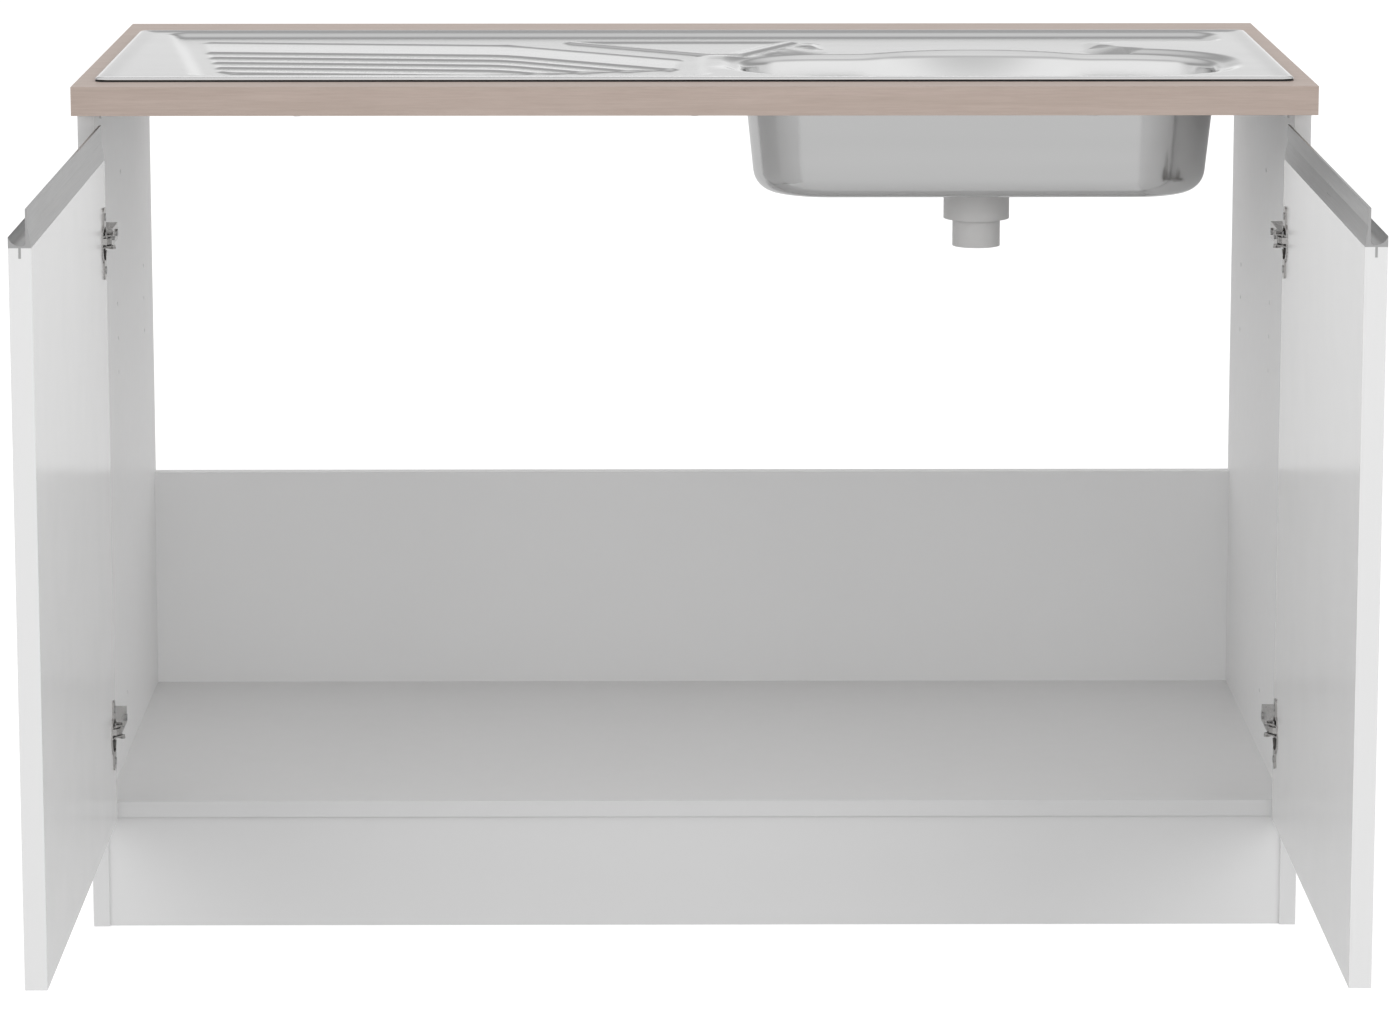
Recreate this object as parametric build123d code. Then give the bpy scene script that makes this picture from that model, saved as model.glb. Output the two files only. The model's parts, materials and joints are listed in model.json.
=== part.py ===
from build123d import *
import math
import os

# Sink base cabinet, millimetres.  +X is to the right of someone facing the doors, +Y to the back,
# +Z up.  The origin is on the floor at mid-width, in the plane of the plinth board's front face.
# Both doors stand open at a right angle.

# ---- Carcass ----
width = 1200.0
depth = 600.0
height = 848.0
board = 16.0
edge_band = 1.0
worktop_thickness = 28.0
worktop_overhang = 55.0
plinth_recess = 3.0
floor_panel_height = 128.0
back_rail_height = 233.0

# ---- Carcass joints ----
joint_fit = 0.05
dowel_radius = 4.0
dowel_length = 30.0
dowel_in_side = 11.0
cam_radius = 7.5
cam_thickness = 12.0
cam_setback = 24.0
bolt_radius = 3.0
bolt_head_radius = 4.0
bolt_head_length = 3.0
bolt_in_side = 11.0
cam_slot_width = 2.0
cam_slot_depth = 3.0
fastener_inset = 60.0
fastener_pitch = 32.0

# ---- Shelf-pin and fitting holes in the side panels ----
pin_hole_radius = 2.5
pin_hole_depth = 11.0
pin_column_front = 185.0
pin_column_rear = 95.0
pin_row_drop = 220.0
pin_row_pitch = 35.0
pin_rows = 3
upper_fitting_behind = 235.0
upper_fitting_drop = 91.0
lower_fitting_behind = 205.0
lower_fitting_rise = 64.0

# ---- Doors ----
door_thickness = 20.0
door_top_gap = 15.0
door_overhang = 2.0
door_reveal = 1.0
door_middle_gap = 3.0
door_gap = 2.0
door_edge_radius = 1.0

# ---- Handle profile on each door's top edge ----
handle_height = 34.0
handle_wall = 2.2
handle_back_setback = 2.6
handle_lip_height = 9.5
handle_flare_height = 18.0
handle_base = 1.5
handle_groove_radius = 4.0
barb_thickness = 2.0
barb_depth = 9.0
barb_fit = 0.1

# ---- Concealed hinges ----
hinge_from_door_bottom = 92.0
hinge_from_door_top = 79.0
open_inset = 10.0
open_front = 4.0
cup_radius = 17.5
cup_wall = 1.0
cup_depth = 11.5
cup_edge_distance = 4.0
flange_thickness = 1.2
flange_radius = 20.0
wing_thickness = 1.7
wing_height = 70.0
wing_width = 15.0
wing_notch = 17.6
cup_screw_pitch = 52.0
cup_screw_radius = 1.9
cup_screw_length = 13.0
arm_pivot_in = 9.0
arm_pivot_back = 2.0
inner_pivot_in = 17.0
inner_pivot_front = 4.0
cup_pin_depth = 4.0
pivot_radius = 1.0
pivot_fit = 0.05
outer_link_half_width = 1.6
outer_link_half_height = 3.0
link_eye_radius = 2.1
link_knee_clearance = 2.0
link_knee_rise = 3.5
link_lip_clearance = 0.8
link_lip_rise = 4.2
ear_thickness = 1.0
inner_link_thickness = 1.6
inner_link_half_width = 1.4
open_eye_clearance = 2.1
open_eye_wall = 0.9
link_gap = 0.3
cheek_thickness = 1.6
cheek_gap = 0.4
nose_radius = 2.4
arm_height = 14.0
arm_web = 1.6
arm_length = 66.0
arm_mouth = 9.0
arm_foot_gap = 1.0
plate_line = 37.0
plate_thickness = 1.6
plate_wing_height = 50.0
plate_wing_width = 18.0
plate_rail_height = 9.0
plate_rail_length = 46.0
plate_screw_pitch = 32.0
plate_screw_radius = 2.5
plate_screw_length = 12.0
arm_screw_radius = 2.5
arm_screw_offset = 14.0

# ---- Inset sink ----
sink_end_margin = 18.0
sink_setback = 42.0
sink_rear_margin = 103.0
sink_corner = 10.0
steel = 1.0
seal_thickness = 0.8
seal_width = 9.0
deck_height = 3.0
bead_height = 1.2
bead_width = 6.0
bead_inset = 2.0
cutout_setback = 14.0
cutout_corner = 20.0
tray_drop = 6.0
tray_rear_margin = 27.0
tray_front_margin = 42.0
tray_left_margin = 40.0
tray_left_slant = 56.0
tray_right_margin = 42.0
tray_corner = 9.0
channel_width = 76.0

# ---- Drainer relief: a broad band, a three-sided panel and narrow ribs ----
relief_height = 3.0
relief_corner = 8.0
band_width = 116.0
band_rear_gap = 50.0
band_left_gap = 24.0
band_right_gap = 20.0
band_bend_from_end = 178.0
band_fall = 36.0
band_steep_fall = 138.0
panel_rear_gap = 55.0
panel_depth = 132.0
panel_foot_width = 38.0
panel_foot_from_bowl = 38.0
panel_left_reach = 162.0
panel_right_reach = 62.0
panel_moat = 15.0
rib_half_width = 4.5
rib_pitch = 46.0
rib_front_gap = 12.0
rib_count = 3

# ---- Bowl and drain ----
bowl_end_margin = 64.0
bowl_front = 50.0
bowl_width = 468.0
bowl_length = 198.0
bowl_corner = 85.0
bowl_bulge = 43.0
bowl_bulge_shoulder = 44.0
bowl_bulge_blend = 60.0
bowl_ledge = 18.0
bowl_link_width = 270.0
drainer_to_bowl = 42.0
bowl_drop = 120.0
bowl_taper = 6.0
bowl_floor_radius = 22.0
bowl_flange = 7.0
drain_hole_radius = 26.0
drain_flange_radius = 36.0
drain_flange_thickness = 1.5
drain_dish_depth = 5.0
drain_body_radius = 33.0
drain_body_height = 30.0
drain_wall = 2.5
gasket_thickness = 2.5
tail_radius = 23.9
tail_bore_radius = 20.0
tail_length = 28.0
drain_screw_radius = 3.0
strainer_hole_radius = 3.2
strainer_hole_circle = 14.0
strainer_holes = 8
drain_slot_half = 0.6
drain_fit = 0.2

# ---- Sink clips and worktop brackets ----
clip_width = 14.0
clip_thickness = 1.5
clip_edge_gap = 4.0
clip_foot = 15.0
clip_drop = 2.5
clip_spread = 0.68
clip_screw_radius = 2.0
bracket_leg = 15.0
bracket_width = 40.0
bracket_thickness = 2.0
bracket_front = 70.0
bracket_rear = 75.0
bracket_screw_radius = 1.75
bracket_screw_length = 12.0
screw_head_radius = 3.6
screw_head_height = 1.8
screw_slot_half = 0.4
screw_cross_half = 0.5
screw_cross_reach = 2.2

# ---- Levels and planes that follow from the sizes above ----
quarter_turn = 90.0
half = width / 2
inner_half = half - board
carcass_front = -plinth_recess
worktop_front = carcass_front - worktop_overhang
rear = worktop_front + depth
carcass_height = height - worktop_thickness
floor_panel_bottom = floor_panel_height - board
door_width = (width - 2 * door_reveal - door_middle_gap) / 2
door_bottom = floor_panel_bottom - door_overhang
door_panel_top = carcass_height - door_top_gap - handle_height
open_face = board + open_inset
hinge_low = door_bottom + hinge_from_door_bottom
hinge_high = door_panel_top - hinge_from_door_top
hinge_heights = (hinge_low, hinge_high)
sink_length = width - 2 * sink_end_margin
sink_depth = depth - sink_setback - sink_rear_margin
bowl_centre = sink_length / 2 - bowl_end_margin - bowl_width / 2
bowl_bulge_half = bowl_width / 2 - bowl_corner - bowl_bulge_shoulder


def block(x0, x1, y0, y1, z0, z1):
    """A box between three pairs of planes."""
    centre = Pos((x0 + x1) / 2, (y0 + y1) / 2, (z0 + z1) / 2)
    return centre * Box(abs(x1 - x0), abs(y1 - y0), abs(z1 - z0))


def upright(x, y, z0, z1, radius):
    """A cylinder along Z."""
    return Pos(x, y, (z0 + z1) / 2) * Cylinder(radius, abs(z1 - z0))


def crosswise(x0, x1, y, z, radius):
    """A cylinder along X."""
    return Pos((x0 + x1) / 2, y, z) * Rot(0, quarter_turn, 0) * Cylinder(radius, abs(x1 - x0))


def lengthwise(x, y0, y1, z, radius):
    """A cylinder along Y."""
    return Pos(x, (y0 + y1) / 2, z) * Rot(quarter_turn, 0, 0) * Cylinder(radius, abs(y1 - y0))


def slab(sketch, z0, z1):
    """A flat outline made solid between two levels."""
    return Pos(0, 0, min(z0, z1)) * extrude(sketch, abs(z1 - z0))


def right_hand(shape):
    """The same piece on the other side of the cabinet."""
    return mirror(shape, about=Plane.YZ)


def save(name, *solids):
    """Write one node, as one solid or as a group of separate solids."""
    shape = solids[0] if len(solids) == 1 else Compound(list(solids))
    export_step(shape, "parts/" + name + ".step")


def save_pair(name, *solids):
    """Write a node for the left side and its mirror image for the right side."""
    save(name + "_left", *solids)
    save(name + "_right", *[right_hand(solid) for solid in solids])


# ---------------------------------------------------------------- carcass joints

def joint_rows():
    """Each row of joint fasteners at the left side: (y, z, direction of the cam's open face)."""
    floor_mid = floor_panel_height - board / 2
    front_y = carcass_front + fastener_inset
    back_y = rear - board - fastener_inset
    rail_mid = rear - board / 2
    plinth_mid = board / 2
    rail_low = floor_panel_height + fastener_inset
    rail_high = floor_panel_height + back_rail_height - fastener_inset
    plinth_z = floor_panel_bottom / 2
    return [
        (front_y, floor_mid, (0, 0, -1), (0, fastener_pitch, 0)),
        (back_y, floor_mid, (0, 0, -1), (0, -fastener_pitch, 0)),
        (rail_mid, rail_low, (0, 1, 0), (0, 0, fastener_pitch)),
        (rail_mid, rail_high, (0, 1, 0), (0, 0, -fastener_pitch)),
        (plinth_mid, plinth_z, (0, 1, 0), (0, 0, -fastener_pitch)),
    ]


def dowel_places():
    """Centre lines of the dowels, one beside each cam."""
    return [(y + step[1], z + step[2]) for y, z, face, step in joint_rows()]


def dowel(y, z, grow):
    start = -inner_half - dowel_in_side - grow
    return crosswise(start, -inner_half - dowel_in_side + dowel_length + grow, y, z, dowel_radius + grow)


def cam_bolt(y, z, grow):
    """A bolt screwed into the side, with its head inside the cam."""
    start = -inner_half - bolt_in_side - grow
    head_end = -inner_half + cam_setback + bolt_head_length / 2 + grow
    shank = crosswise(start, head_end, y, z, bolt_radius + grow)
    head = crosswise(head_end - bolt_head_length - 2 * grow, head_end, y, z, bolt_head_radius + grow)
    return shank + head


def cam_disc(y, z, face, grow):
    """The round cam, let into the hidden face of the board."""
    x = -inner_half + cam_setback
    reach = board / 2 + (grow if grow else 0)
    inward = cam_thickness - board / 2 + grow
    if face[2]:
        return upright(x, y, z - reach, z + inward, cam_radius + grow)
    return lengthwise(x, y - inward, y + reach, z, cam_radius + grow)


def cam(y, z, face):
    """A cam with its cross slot and the hollow that takes the bolt's head."""
    x = -inner_half + cam_setback
    body = cam_disc(y, z, face, 0)
    body -= cam_bolt(y, z, 2 * joint_fit)
    reach = board / 2
    across = cam_radius * 0.7
    half_slot = cam_slot_width / 2
    if face[2]:
        base = z - reach
        body -= block(x - across, x + across, y - half_slot, y + half_slot, base, base + cam_slot_depth)
        body -= block(x - half_slot, x + half_slot, y - across, y + across, base, base + cam_slot_depth)
    else:
        base = y + reach
        body -= block(x - across, x + across, base - cam_slot_depth, base, z - half_slot, z + half_slot)
        body -= block(x - half_slot, x + half_slot, base - cam_slot_depth, base, z - across, z + across)
    return body


def cut_joints(panel):
    """Holes for every dowel, bolt and cam, at both ends of a panel."""
    for y, z in dowel_places():
        hole = dowel(y, z, joint_fit)
        panel = panel - hole - right_hand(hole)
    for y, z, face, step in joint_rows():
        tool = cam_bolt(y, z, joint_fit) + cam_disc(y, z, face, joint_fit)
        panel = panel - tool - right_hand(tool)
    return panel


# ---------------------------------------------------------------- hinge geometry
# The plan of the left hinge is measured inward from the side's outer face and forward
# from the side's front edge.  A place on the door is measured along it from its hinge
# edge and into it from its inner face.

def plan(inward, forward):
    return (-half + inward, carcass_front - forward)


def on_door(along, into):
    return plan(open_face - into, open_front + along)


arm_pivot = (board + arm_pivot_in, -arm_pivot_back)
inner_pivot = (board + inner_pivot_in, inner_pivot_front)


def cup_pin_along(pivot):
    """Place along the door of the pin that a link from this pivot carries from closed to open."""
    px, py = pivot
    closed_y = door_gap + cup_pin_depth
    open_x = open_face - cup_pin_depth
    difference = (px - door_reveal) ** 2 + (py - closed_y) ** 2
    difference -= (px - open_x) ** 2 + (py - open_front) ** 2
    return difference / (2 * (px - door_reveal - py + open_front))


outer_pin_along = cup_pin_along(arm_pivot)
inner_pin_along = cup_pin_along(inner_pivot)
cup_centre_along = cup_edge_distance + cup_radius
ear_low = outer_link_half_height + link_gap
ear_high = ear_low + ear_thickness
inner_link_low = ear_high + link_gap
inner_link_high = inner_link_low + inner_link_thickness
cheek_low = inner_link_high + cheek_gap
cheek_high = cheek_low + cheek_thickness
open_eye_radius = pivot_radius + open_eye_clearance


def strip(points, half_width):
    """A flat bar with round ends and bends along a line of plan points."""
    face = Sketch()
    for x, y in points:
        face += Pos(x, y) * Circle(half_width)
    for (x0, y0), (x1, y1) in zip(points, points[1:]):
        run = math.hypot(x1 - x0, y1 - y0)
        turn = math.degrees(math.atan2(y1 - y0, x1 - x0))
        face += Pos((x0 + x1) / 2, (y0 + y1) / 2) * Rot(0, 0, turn) * Rectangle(run, 2 * half_width)
    return face


def disc(point, radius):
    return Pos(*point) * Circle(radius)


def levels(face, low, high, z):
    """A pair of plates of one outline, above and below the hinge's middle."""
    return [slab(face, z + low, z + high), slab(face, z - high, z - low)]


def outer_link(z):
    """The cranked link that carries the door round the side's front edge."""
    ax, ay = arm_pivot
    clear_of_door = open_face + outer_link_half_width + link_knee_clearance
    lip = open_front + cup_edge_distance
    pin_x, pin_y = open_face - cup_pin_depth, open_front + outer_pin_along
    knees = [
        (ax, ay),
        (clear_of_door - pivot_radius / 2, ay + link_knee_rise),
        (clear_of_door, lip),
        (open_face + link_lip_clearance, lip + link_lip_rise),
        (pin_x, pin_y),
    ]
    points = [plan(x, y) for x, y in knees]
    face = strip(points, outer_link_half_width)
    face += disc(points[0], link_eye_radius)
    face += disc(points[-1], link_eye_radius)
    face -= disc(points[0], pivot_radius + pivot_fit)
    face -= disc(points[-1], pivot_radius + pivot_fit)
    return slab(face, z - outer_link_half_height, z + outer_link_half_height)


def inner_links(z):
    """The two short plates beside the outer link, with a wide eye at the cup's pin."""
    start = plan(*inner_pivot)
    end = on_door(inner_pin_along, cup_pin_depth)
    face = strip([start, end], inner_link_half_width)
    face += disc(start, link_eye_radius)
    face += disc(end, open_eye_radius + open_eye_wall)
    face -= disc(start, pivot_radius + pivot_fit)
    face -= disc(end, open_eye_radius)
    return levels(face, inner_link_low, inner_link_high, z)


def arm_pins(z):
    """The through pin of the outer link and the two stub pins of the inner plates."""
    ax, ay = plan(*arm_pivot)
    cx, cy = plan(*inner_pivot)
    stub_start = inner_link_low - link_gap / 2
    return [
        upright(ax, ay, z - cheek_high, z + cheek_high, pivot_radius),
        upright(cx, cy, z + stub_start, z + cheek_high, pivot_radius),
        upright(cx, cy, z - cheek_high, z - stub_start, pivot_radius),
    ]


def cup_pins(z):
    """The pin of the outer link in the cup's ears and the two stubs in the wide eyes."""
    bx, by = on_door(outer_pin_along, cup_pin_depth)
    dx, dy = on_door(inner_pin_along, cup_pin_depth)
    return [
        upright(bx, by, z - ear_high, z + ear_high, pivot_radius),
        upright(dx, dy, z + ear_low, z + inner_link_high, pivot_radius),
        upright(dx, dy, z - inner_link_high, z - ear_low, pivot_radius),
    ]


def hinge_arm(z):
    """A channel over the plate's rail, with two cheeks that carry the pivots."""
    base = board + plate_thickness + arm_foot_gap
    top = board + arm_height
    x_base, x_top = -half + base, -half + top
    y_tail, y_mouth = carcass_front + arm_length, carcass_front + arm_mouth
    web = block(x_top - arm_web, x_top, y_mouth, y_tail, z - cheek_high, z + cheek_high)
    body = web
    cheek = Pos((x_base + x_top) / 2, (y_mouth + y_tail) / 2) * Rectangle(top - base, y_tail - y_mouth)
    shoulder = plan(board + arm_height - nose_radius, -arm_mouth - nose_radius)
    foot = plan(base + nose_radius, -arm_mouth - nose_radius)
    cheek += strip([plan(*arm_pivot), plan(*inner_pivot)], nose_radius)
    cheek += strip([plan(*inner_pivot), shoulder], nose_radius)
    cheek += make_face(Polyline(plan(*arm_pivot), plan(*inner_pivot), shoulder, foot, close=True))
    cheek += strip([plan(*arm_pivot), foot], nose_radius)
    cheek -= disc(plan(*arm_pivot), pivot_radius + pivot_fit)
    cheek -= disc(plan(*inner_pivot), pivot_radius + pivot_fit)
    for plate in levels(cheek, cheek_low, cheek_high, z):
        body += plate
    for y in arm_screw_places():
        body -= crosswise(x_top - 2 * arm_web, x_top + 1, y, z, arm_screw_radius + joint_fit)
    return body


def arm_screw_places():
    """The fixing screw behind the plate's line and the side adjusting screw in front of it."""
    middle = carcass_front + plate_line
    return (middle - arm_screw_offset, middle + arm_screw_offset)


def arm_screws(z):
    """Two screws from the arm's web into the plate's rail."""
    screws = []
    x_head = -half + board + arm_height
    for y in arm_screw_places():
        shank = crosswise(-half + board + plate_rail_height / 2, x_head, y, z, arm_screw_radius)
        head = crosswise(x_head, x_head + screw_head_height, y, z, screw_head_radius)
        slot = block(x_head + screw_head_height / 2, x_head + screw_head_height + 1,
                     y - screw_head_radius, y + screw_head_radius, z - screw_slot_half, z + screw_slot_half)
        screws.append(shank + head - slot)
    return screws


def mounting_plate(z):
    """A cross-shaped plate screwed to the side, with the rail that the arm slides on."""
    x_face = -inner_half
    y_line = carcass_front + plate_line
    wings = block(x_face, x_face + plate_thickness, y_line - plate_wing_width / 2,
                  y_line + plate_wing_width / 2, z - plate_wing_height / 2, z + plate_wing_height / 2)
    wings = fillet(wings.edges().filter_by(Axis.X), plate_wing_width / 3)
    rail_half = cheek_low - link_gap
    rail = block(x_face, x_face + plate_rail_height, y_line - plate_rail_length / 2,
                 y_line + plate_rail_length / 2, z - rail_half, z + rail_half)
    plate = wings + rail
    for screw in plate_screw_places(z):
        plate -= crosswise(x_face - 1, x_face + 2 * plate_thickness, screw[0], screw[1],
                           plate_screw_radius + joint_fit)
    for y in arm_screw_places():
        plate -= crosswise(x_face + plate_rail_height / 2 - joint_fit, x_face + plate_rail_height + 1,
                           y, z, arm_screw_radius + joint_fit)
    return plate


def plate_screw_places(z):
    y = carcass_front + plate_line
    return [(y, z - plate_screw_pitch / 2), (y, z + plate_screw_pitch / 2)]


def plate_screws(z):
    """Euro screws through the plate's wings into the side."""
    screws = []
    face = -inner_half + plate_thickness
    for y, sz in plate_screw_places(z):
        shank = crosswise(-inner_half - plate_screw_length, face, y, sz, plate_screw_radius)
        head = crosswise(face, face + screw_head_height, y, sz, screw_head_radius)
        low, high = face + screw_head_height / 2, face + screw_head_height + 1
        thin, long = screw_cross_half, screw_cross_reach
        cross = block(low, high, y - thin, y + thin, sz - long, sz + long)
        cross += block(low, high, y - long, y + long, sz - thin, sz + thin)
        screws.append(shank + head - cross)
    return screws


def hinge_cup(z):
    """The round cup let into the door, with its flange, screw wings and the two pin ears."""
    face_x = -half + open_face
    cx, cy = face_x, carcass_front - open_front - cup_centre_along
    cup = crosswise(face_x - cup_depth, face_x, cy, z, cup_radius)
    flange = crosswise(face_x, face_x + flange_thickness, cy, z, flange_radius)
    wings = block(face_x, face_x + wing_thickness, cy - wing_width / 2, cy + wing_width / 2,
                  z - wing_height / 2, z + wing_height / 2)
    wings = fillet(wings.edges().filter_by(Axis.X), wing_width / 3)
    cup = cup + flange + wings
    cup -= crosswise(face_x - cup_depth + cup_wall, face_x + wing_thickness + 1, cy, z,
                     cup_radius - cup_wall)
    near_edge = cy + flange_radius + 1
    cup -= block(face_x, face_x + wing_thickness + 1, cy, near_edge, z - wing_notch / 2, z + wing_notch / 2)
    bottom = face_x - cup_depth + cup_wall / 2
    outer_pin = on_door(outer_pin_along, cup_pin_depth)
    inner_pin = on_door(inner_pin_along, cup_pin_depth)
    ear = strip([outer_pin, inner_pin], link_eye_radius)
    top_y = outer_pin[1] + link_eye_radius
    low_y = inner_pin[1] - link_eye_radius
    ear += Pos((bottom + outer_pin[0]) / 2, (top_y + low_y) / 2) * Rectangle(outer_pin[0] - bottom, top_y - low_y)
    ear -= disc(outer_pin, pivot_radius + pivot_fit)
    ear -= disc(inner_pin, pivot_radius + pivot_fit)
    for plate in levels(ear, ear_low, ear_high, z):
        cup += plate
    for sy, sz in cup_screw_places(z):
        cup -= crosswise(face_x - 1, face_x + wing_thickness + 1, sy, sz, cup_screw_radius + joint_fit)
    return cup


def cup_screw_places(z):
    y = carcass_front - open_front - cup_centre_along
    return [(y, z - cup_screw_pitch / 2), (y, z + cup_screw_pitch / 2)]


def cup_screws(z):
    """Wood screws through the flange's wings into the door."""
    screws = []
    face = -half + open_face + wing_thickness
    for y, sz in cup_screw_places(z):
        shank = crosswise(face - cup_screw_length, face, y, sz, cup_screw_radius)
        head = crosswise(face, face + screw_head_height / 2, y, sz, screw_head_radius)
        screws.append(shank + head)
    return screws


# ---------------------------------------------------------------- doors

def door_panel():
    """The left door's board, open at a right angle, with its cup pockets and handle groove."""
    inner_x = -half + open_face
    outer_x = inner_x - door_thickness
    hinge_y = carcass_front - open_front
    free_y = hinge_y - door_width
    panel = block(outer_x, inner_x, free_y, hinge_y, door_bottom, door_panel_top)
    outer_edges = panel.edges().filter_by(Axis.Z).sort_by(Axis.X)[:2]
    panel = fillet(outer_edges, door_edge_radius)
    cup_y = hinge_y - cup_centre_along
    for z in hinge_heights:
        panel -= crosswise(inner_x - cup_depth - joint_fit, inner_x + 1, cup_y, z, cup_radius + joint_fit)
        for y, sz in cup_screw_places(z):
            deep = cup_screw_length - wing_thickness + joint_fit
            panel -= crosswise(inner_x - deep, inner_x + 1, y, sz, cup_screw_radius + joint_fit)
    groove_x = outer_x + door_thickness / 2
    groove_half = barb_thickness / 2 + barb_fit
    panel -= block(groove_x - groove_half, groove_x + groove_half, free_y - 1, hinge_y + 1,
                   door_panel_top - barb_depth - barb_fit, door_panel_top + 1)
    return panel


def handle_profile():
    """The aluminium channel along the door's top edge: front lip, finger groove and back leg."""
    inner_x = -half + open_face
    outer_x = inner_x - door_thickness
    hinge_y = carcass_front - open_front
    free_y = hinge_y - door_width
    base = door_panel_top
    leg_x = inner_x - handle_back_setback
    flute_x = leg_x - handle_wall
    low_x = flute_x - handle_groove_radius
    leg_foot = (flute_x, base + handle_base + handle_groove_radius)
    low = (low_x, base + handle_base)
    tip = (outer_x, base + handle_lip_height)
    edges = [
        Polyline(tip, (outer_x, base), (inner_x, base), (leg_x, base + handle_flare_height),
                 (leg_x, base + handle_height), (flute_x, base + handle_height), leg_foot),
        TangentArc(leg_foot, low, tangent=(0, -1)),
        TangentArc(low, tip, tangent=(-1, 0)),
    ]
    section = make_face(Curve() + edges)
    profile = Pos(0, free_y, 0) * Rot(quarter_turn, 0, 0) * extrude(section, -door_width)
    barb_x = outer_x + door_thickness / 2
    profile += block(barb_x - barb_thickness / 2, barb_x + barb_thickness / 2, free_y, hinge_y,
                     base - barb_depth, base + handle_base / 2)
    return profile


# ---------------------------------------------------------------- carcass boards

def side_panel():
    """The left side, from the floor to the worktop, with all its holes."""
    panel = block(-half, -inner_half, carcass_front + edge_band, rear, 0, carcass_height)
    panel = cut_joints(panel)
    for z in hinge_heights:
        for y, sz in plate_screw_places(z):
            panel -= crosswise(-inner_half - plate_screw_length - joint_fit, -inner_half + 1, y, sz,
                               plate_screw_radius + joint_fit)
    for y in pin_columns:
        for row in range(pin_rows):
            panel -= pin_hole(y, pin_row_high - row * pin_row_pitch)
    panel -= pin_hole(carcass_front + upper_fitting_behind, carcass_height - upper_fitting_drop)
    panel -= pin_hole(carcass_front + lower_fitting_behind, floor_panel_height + lower_fitting_rise)
    for y in bracket_places():
        panel -= bracket_side_screw(y, joint_fit)
    return panel


pin_columns = (carcass_front + pin_column_front, rear - pin_column_rear)
pin_row_high = carcass_height - pin_row_drop


def pin_hole(y, z):
    return crosswise(-inner_half - pin_hole_depth, -inner_half + 1, y, z, pin_hole_radius)


def floor_panel():
    panel = block(-inner_half, inner_half, carcass_front + edge_band, rear, floor_panel_bottom,
                  floor_panel_height)
    return cut_joints(panel)


def plinth_board():
    return cut_joints(block(-inner_half, inner_half, 0, board, 0, floor_panel_bottom))


def back_rail():
    top = floor_panel_height + back_rail_height - edge_band
    return cut_joints(block(-inner_half, inner_half, rear - board, rear, floor_panel_height, top))


def carcass_edge_bands():
    """Thin bands on the raw edges that show: both sides, the floor panel and the back rail."""
    front = carcass_front
    left = block(-half, -inner_half, front, front + edge_band, 0, carcass_height)
    floor_band = block(-inner_half, inner_half, front, front + edge_band, floor_panel_bottom,
                       floor_panel_height)
    rail_top = floor_panel_height + back_rail_height
    rail_band = block(-inner_half, inner_half, rear - board, rear, rail_top - edge_band, rail_top)
    return [left, right_hand(left), floor_band, rail_band]


# ---------------------------------------------------------------- worktop and sink outlines

sink_mid_y = worktop_front + sink_setback + sink_depth / 2
deck_top = height + deck_height
tray_floor = deck_top - tray_drop
bowl_mid_y = sink_mid_y - sink_depth / 2 + bowl_front + bowl_length / 2
drain_y = bowl_mid_y + bowl_bulge / 2


def sink_outline(inset, corner):
    """The sink's rounded outline, drawn in by an inset."""
    rounding = max(corner - inset, 1.0)
    return Pos(0, sink_mid_y) * RectangleRounded(sink_length - 2 * inset, sink_depth - 2 * inset, rounding)


def cutout_outline():
    inset = cutout_setback
    return Pos(0, sink_mid_y) * RectangleRounded(sink_length - 2 * inset, sink_depth - 2 * inset, cutout_corner)


def bowl_outline(grow):
    """The bowl's opening: a rounded rectangle whose rear edge swells backwards in the middle."""
    shape = Sketch() + RectangleRounded(bowl_width, bowl_length, bowl_corner)
    rear_edge = bowl_length / 2
    left_foot, right_foot = (-bowl_bulge_half, rear_edge), (bowl_bulge_half, rear_edge)
    swell = ThreePointArc(left_foot, (0, rear_edge + bowl_bulge), right_foot)
    sides = Polyline(right_foot, (bowl_bulge_half, 0), (-bowl_bulge_half, 0), left_foot)
    shape += make_face(swell + sides)
    feet = [v for v in shape.vertices() if abs(abs(v.X) - bowl_bulge_half) < joint_fit]
    shape = fillet(feet, bowl_bulge_blend)
    if grow:
        shape = offset(shape, grow, kind=Kind.ARC)
    return Pos(bowl_centre, bowl_mid_y) * shape


def worktop():
    """The board with its sink cut-out and the pilot holes of its brackets."""
    band = edge_band
    board_top = block(-half + band, half - band, worktop_front + band, rear, carcass_height, height)
    board_top -= slab(cutout_outline(), carcass_height - 1, height + 1)
    for y in bracket_places():
        hole = bracket_top_screw(y, joint_fit)
        board_top = board_top - hole - right_hand(hole)
    return board_top


def worktop_edge_bands():
    """Wood-grain bands on the worktop's front and two ends."""
    band = edge_band
    front = block(-half, half, worktop_front, worktop_front + band, carcass_height, height)
    left = block(-half, -half + band, worktop_front + band, rear, carcass_height, height)
    return [front, left, right_hand(left)]


# ---------------------------------------------------------------- pressed sink

tray_back = worktop_front + sink_setback + sink_depth - tray_rear_margin
tray_front = worktop_front + sink_setback + tray_front_margin
tray_left_back = -sink_length / 2 + tray_left_margin
tray_right = sink_length / 2 - tray_right_margin
bowl_left = bowl_centre - bowl_width / 2
drainer_right = bowl_left - drainer_to_bowl


def drainer_left(y):
    """The drainer's slanting left end at a distance from the front."""
    return tray_left_back + tray_left_slant * (tray_back - y) / (tray_back - tray_front)


def rounded(points):
    """A flat outline through these points, with round corners."""
    return fillet(make_face(Polyline(*points, close=True)).vertices(), relief_corner)


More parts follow.
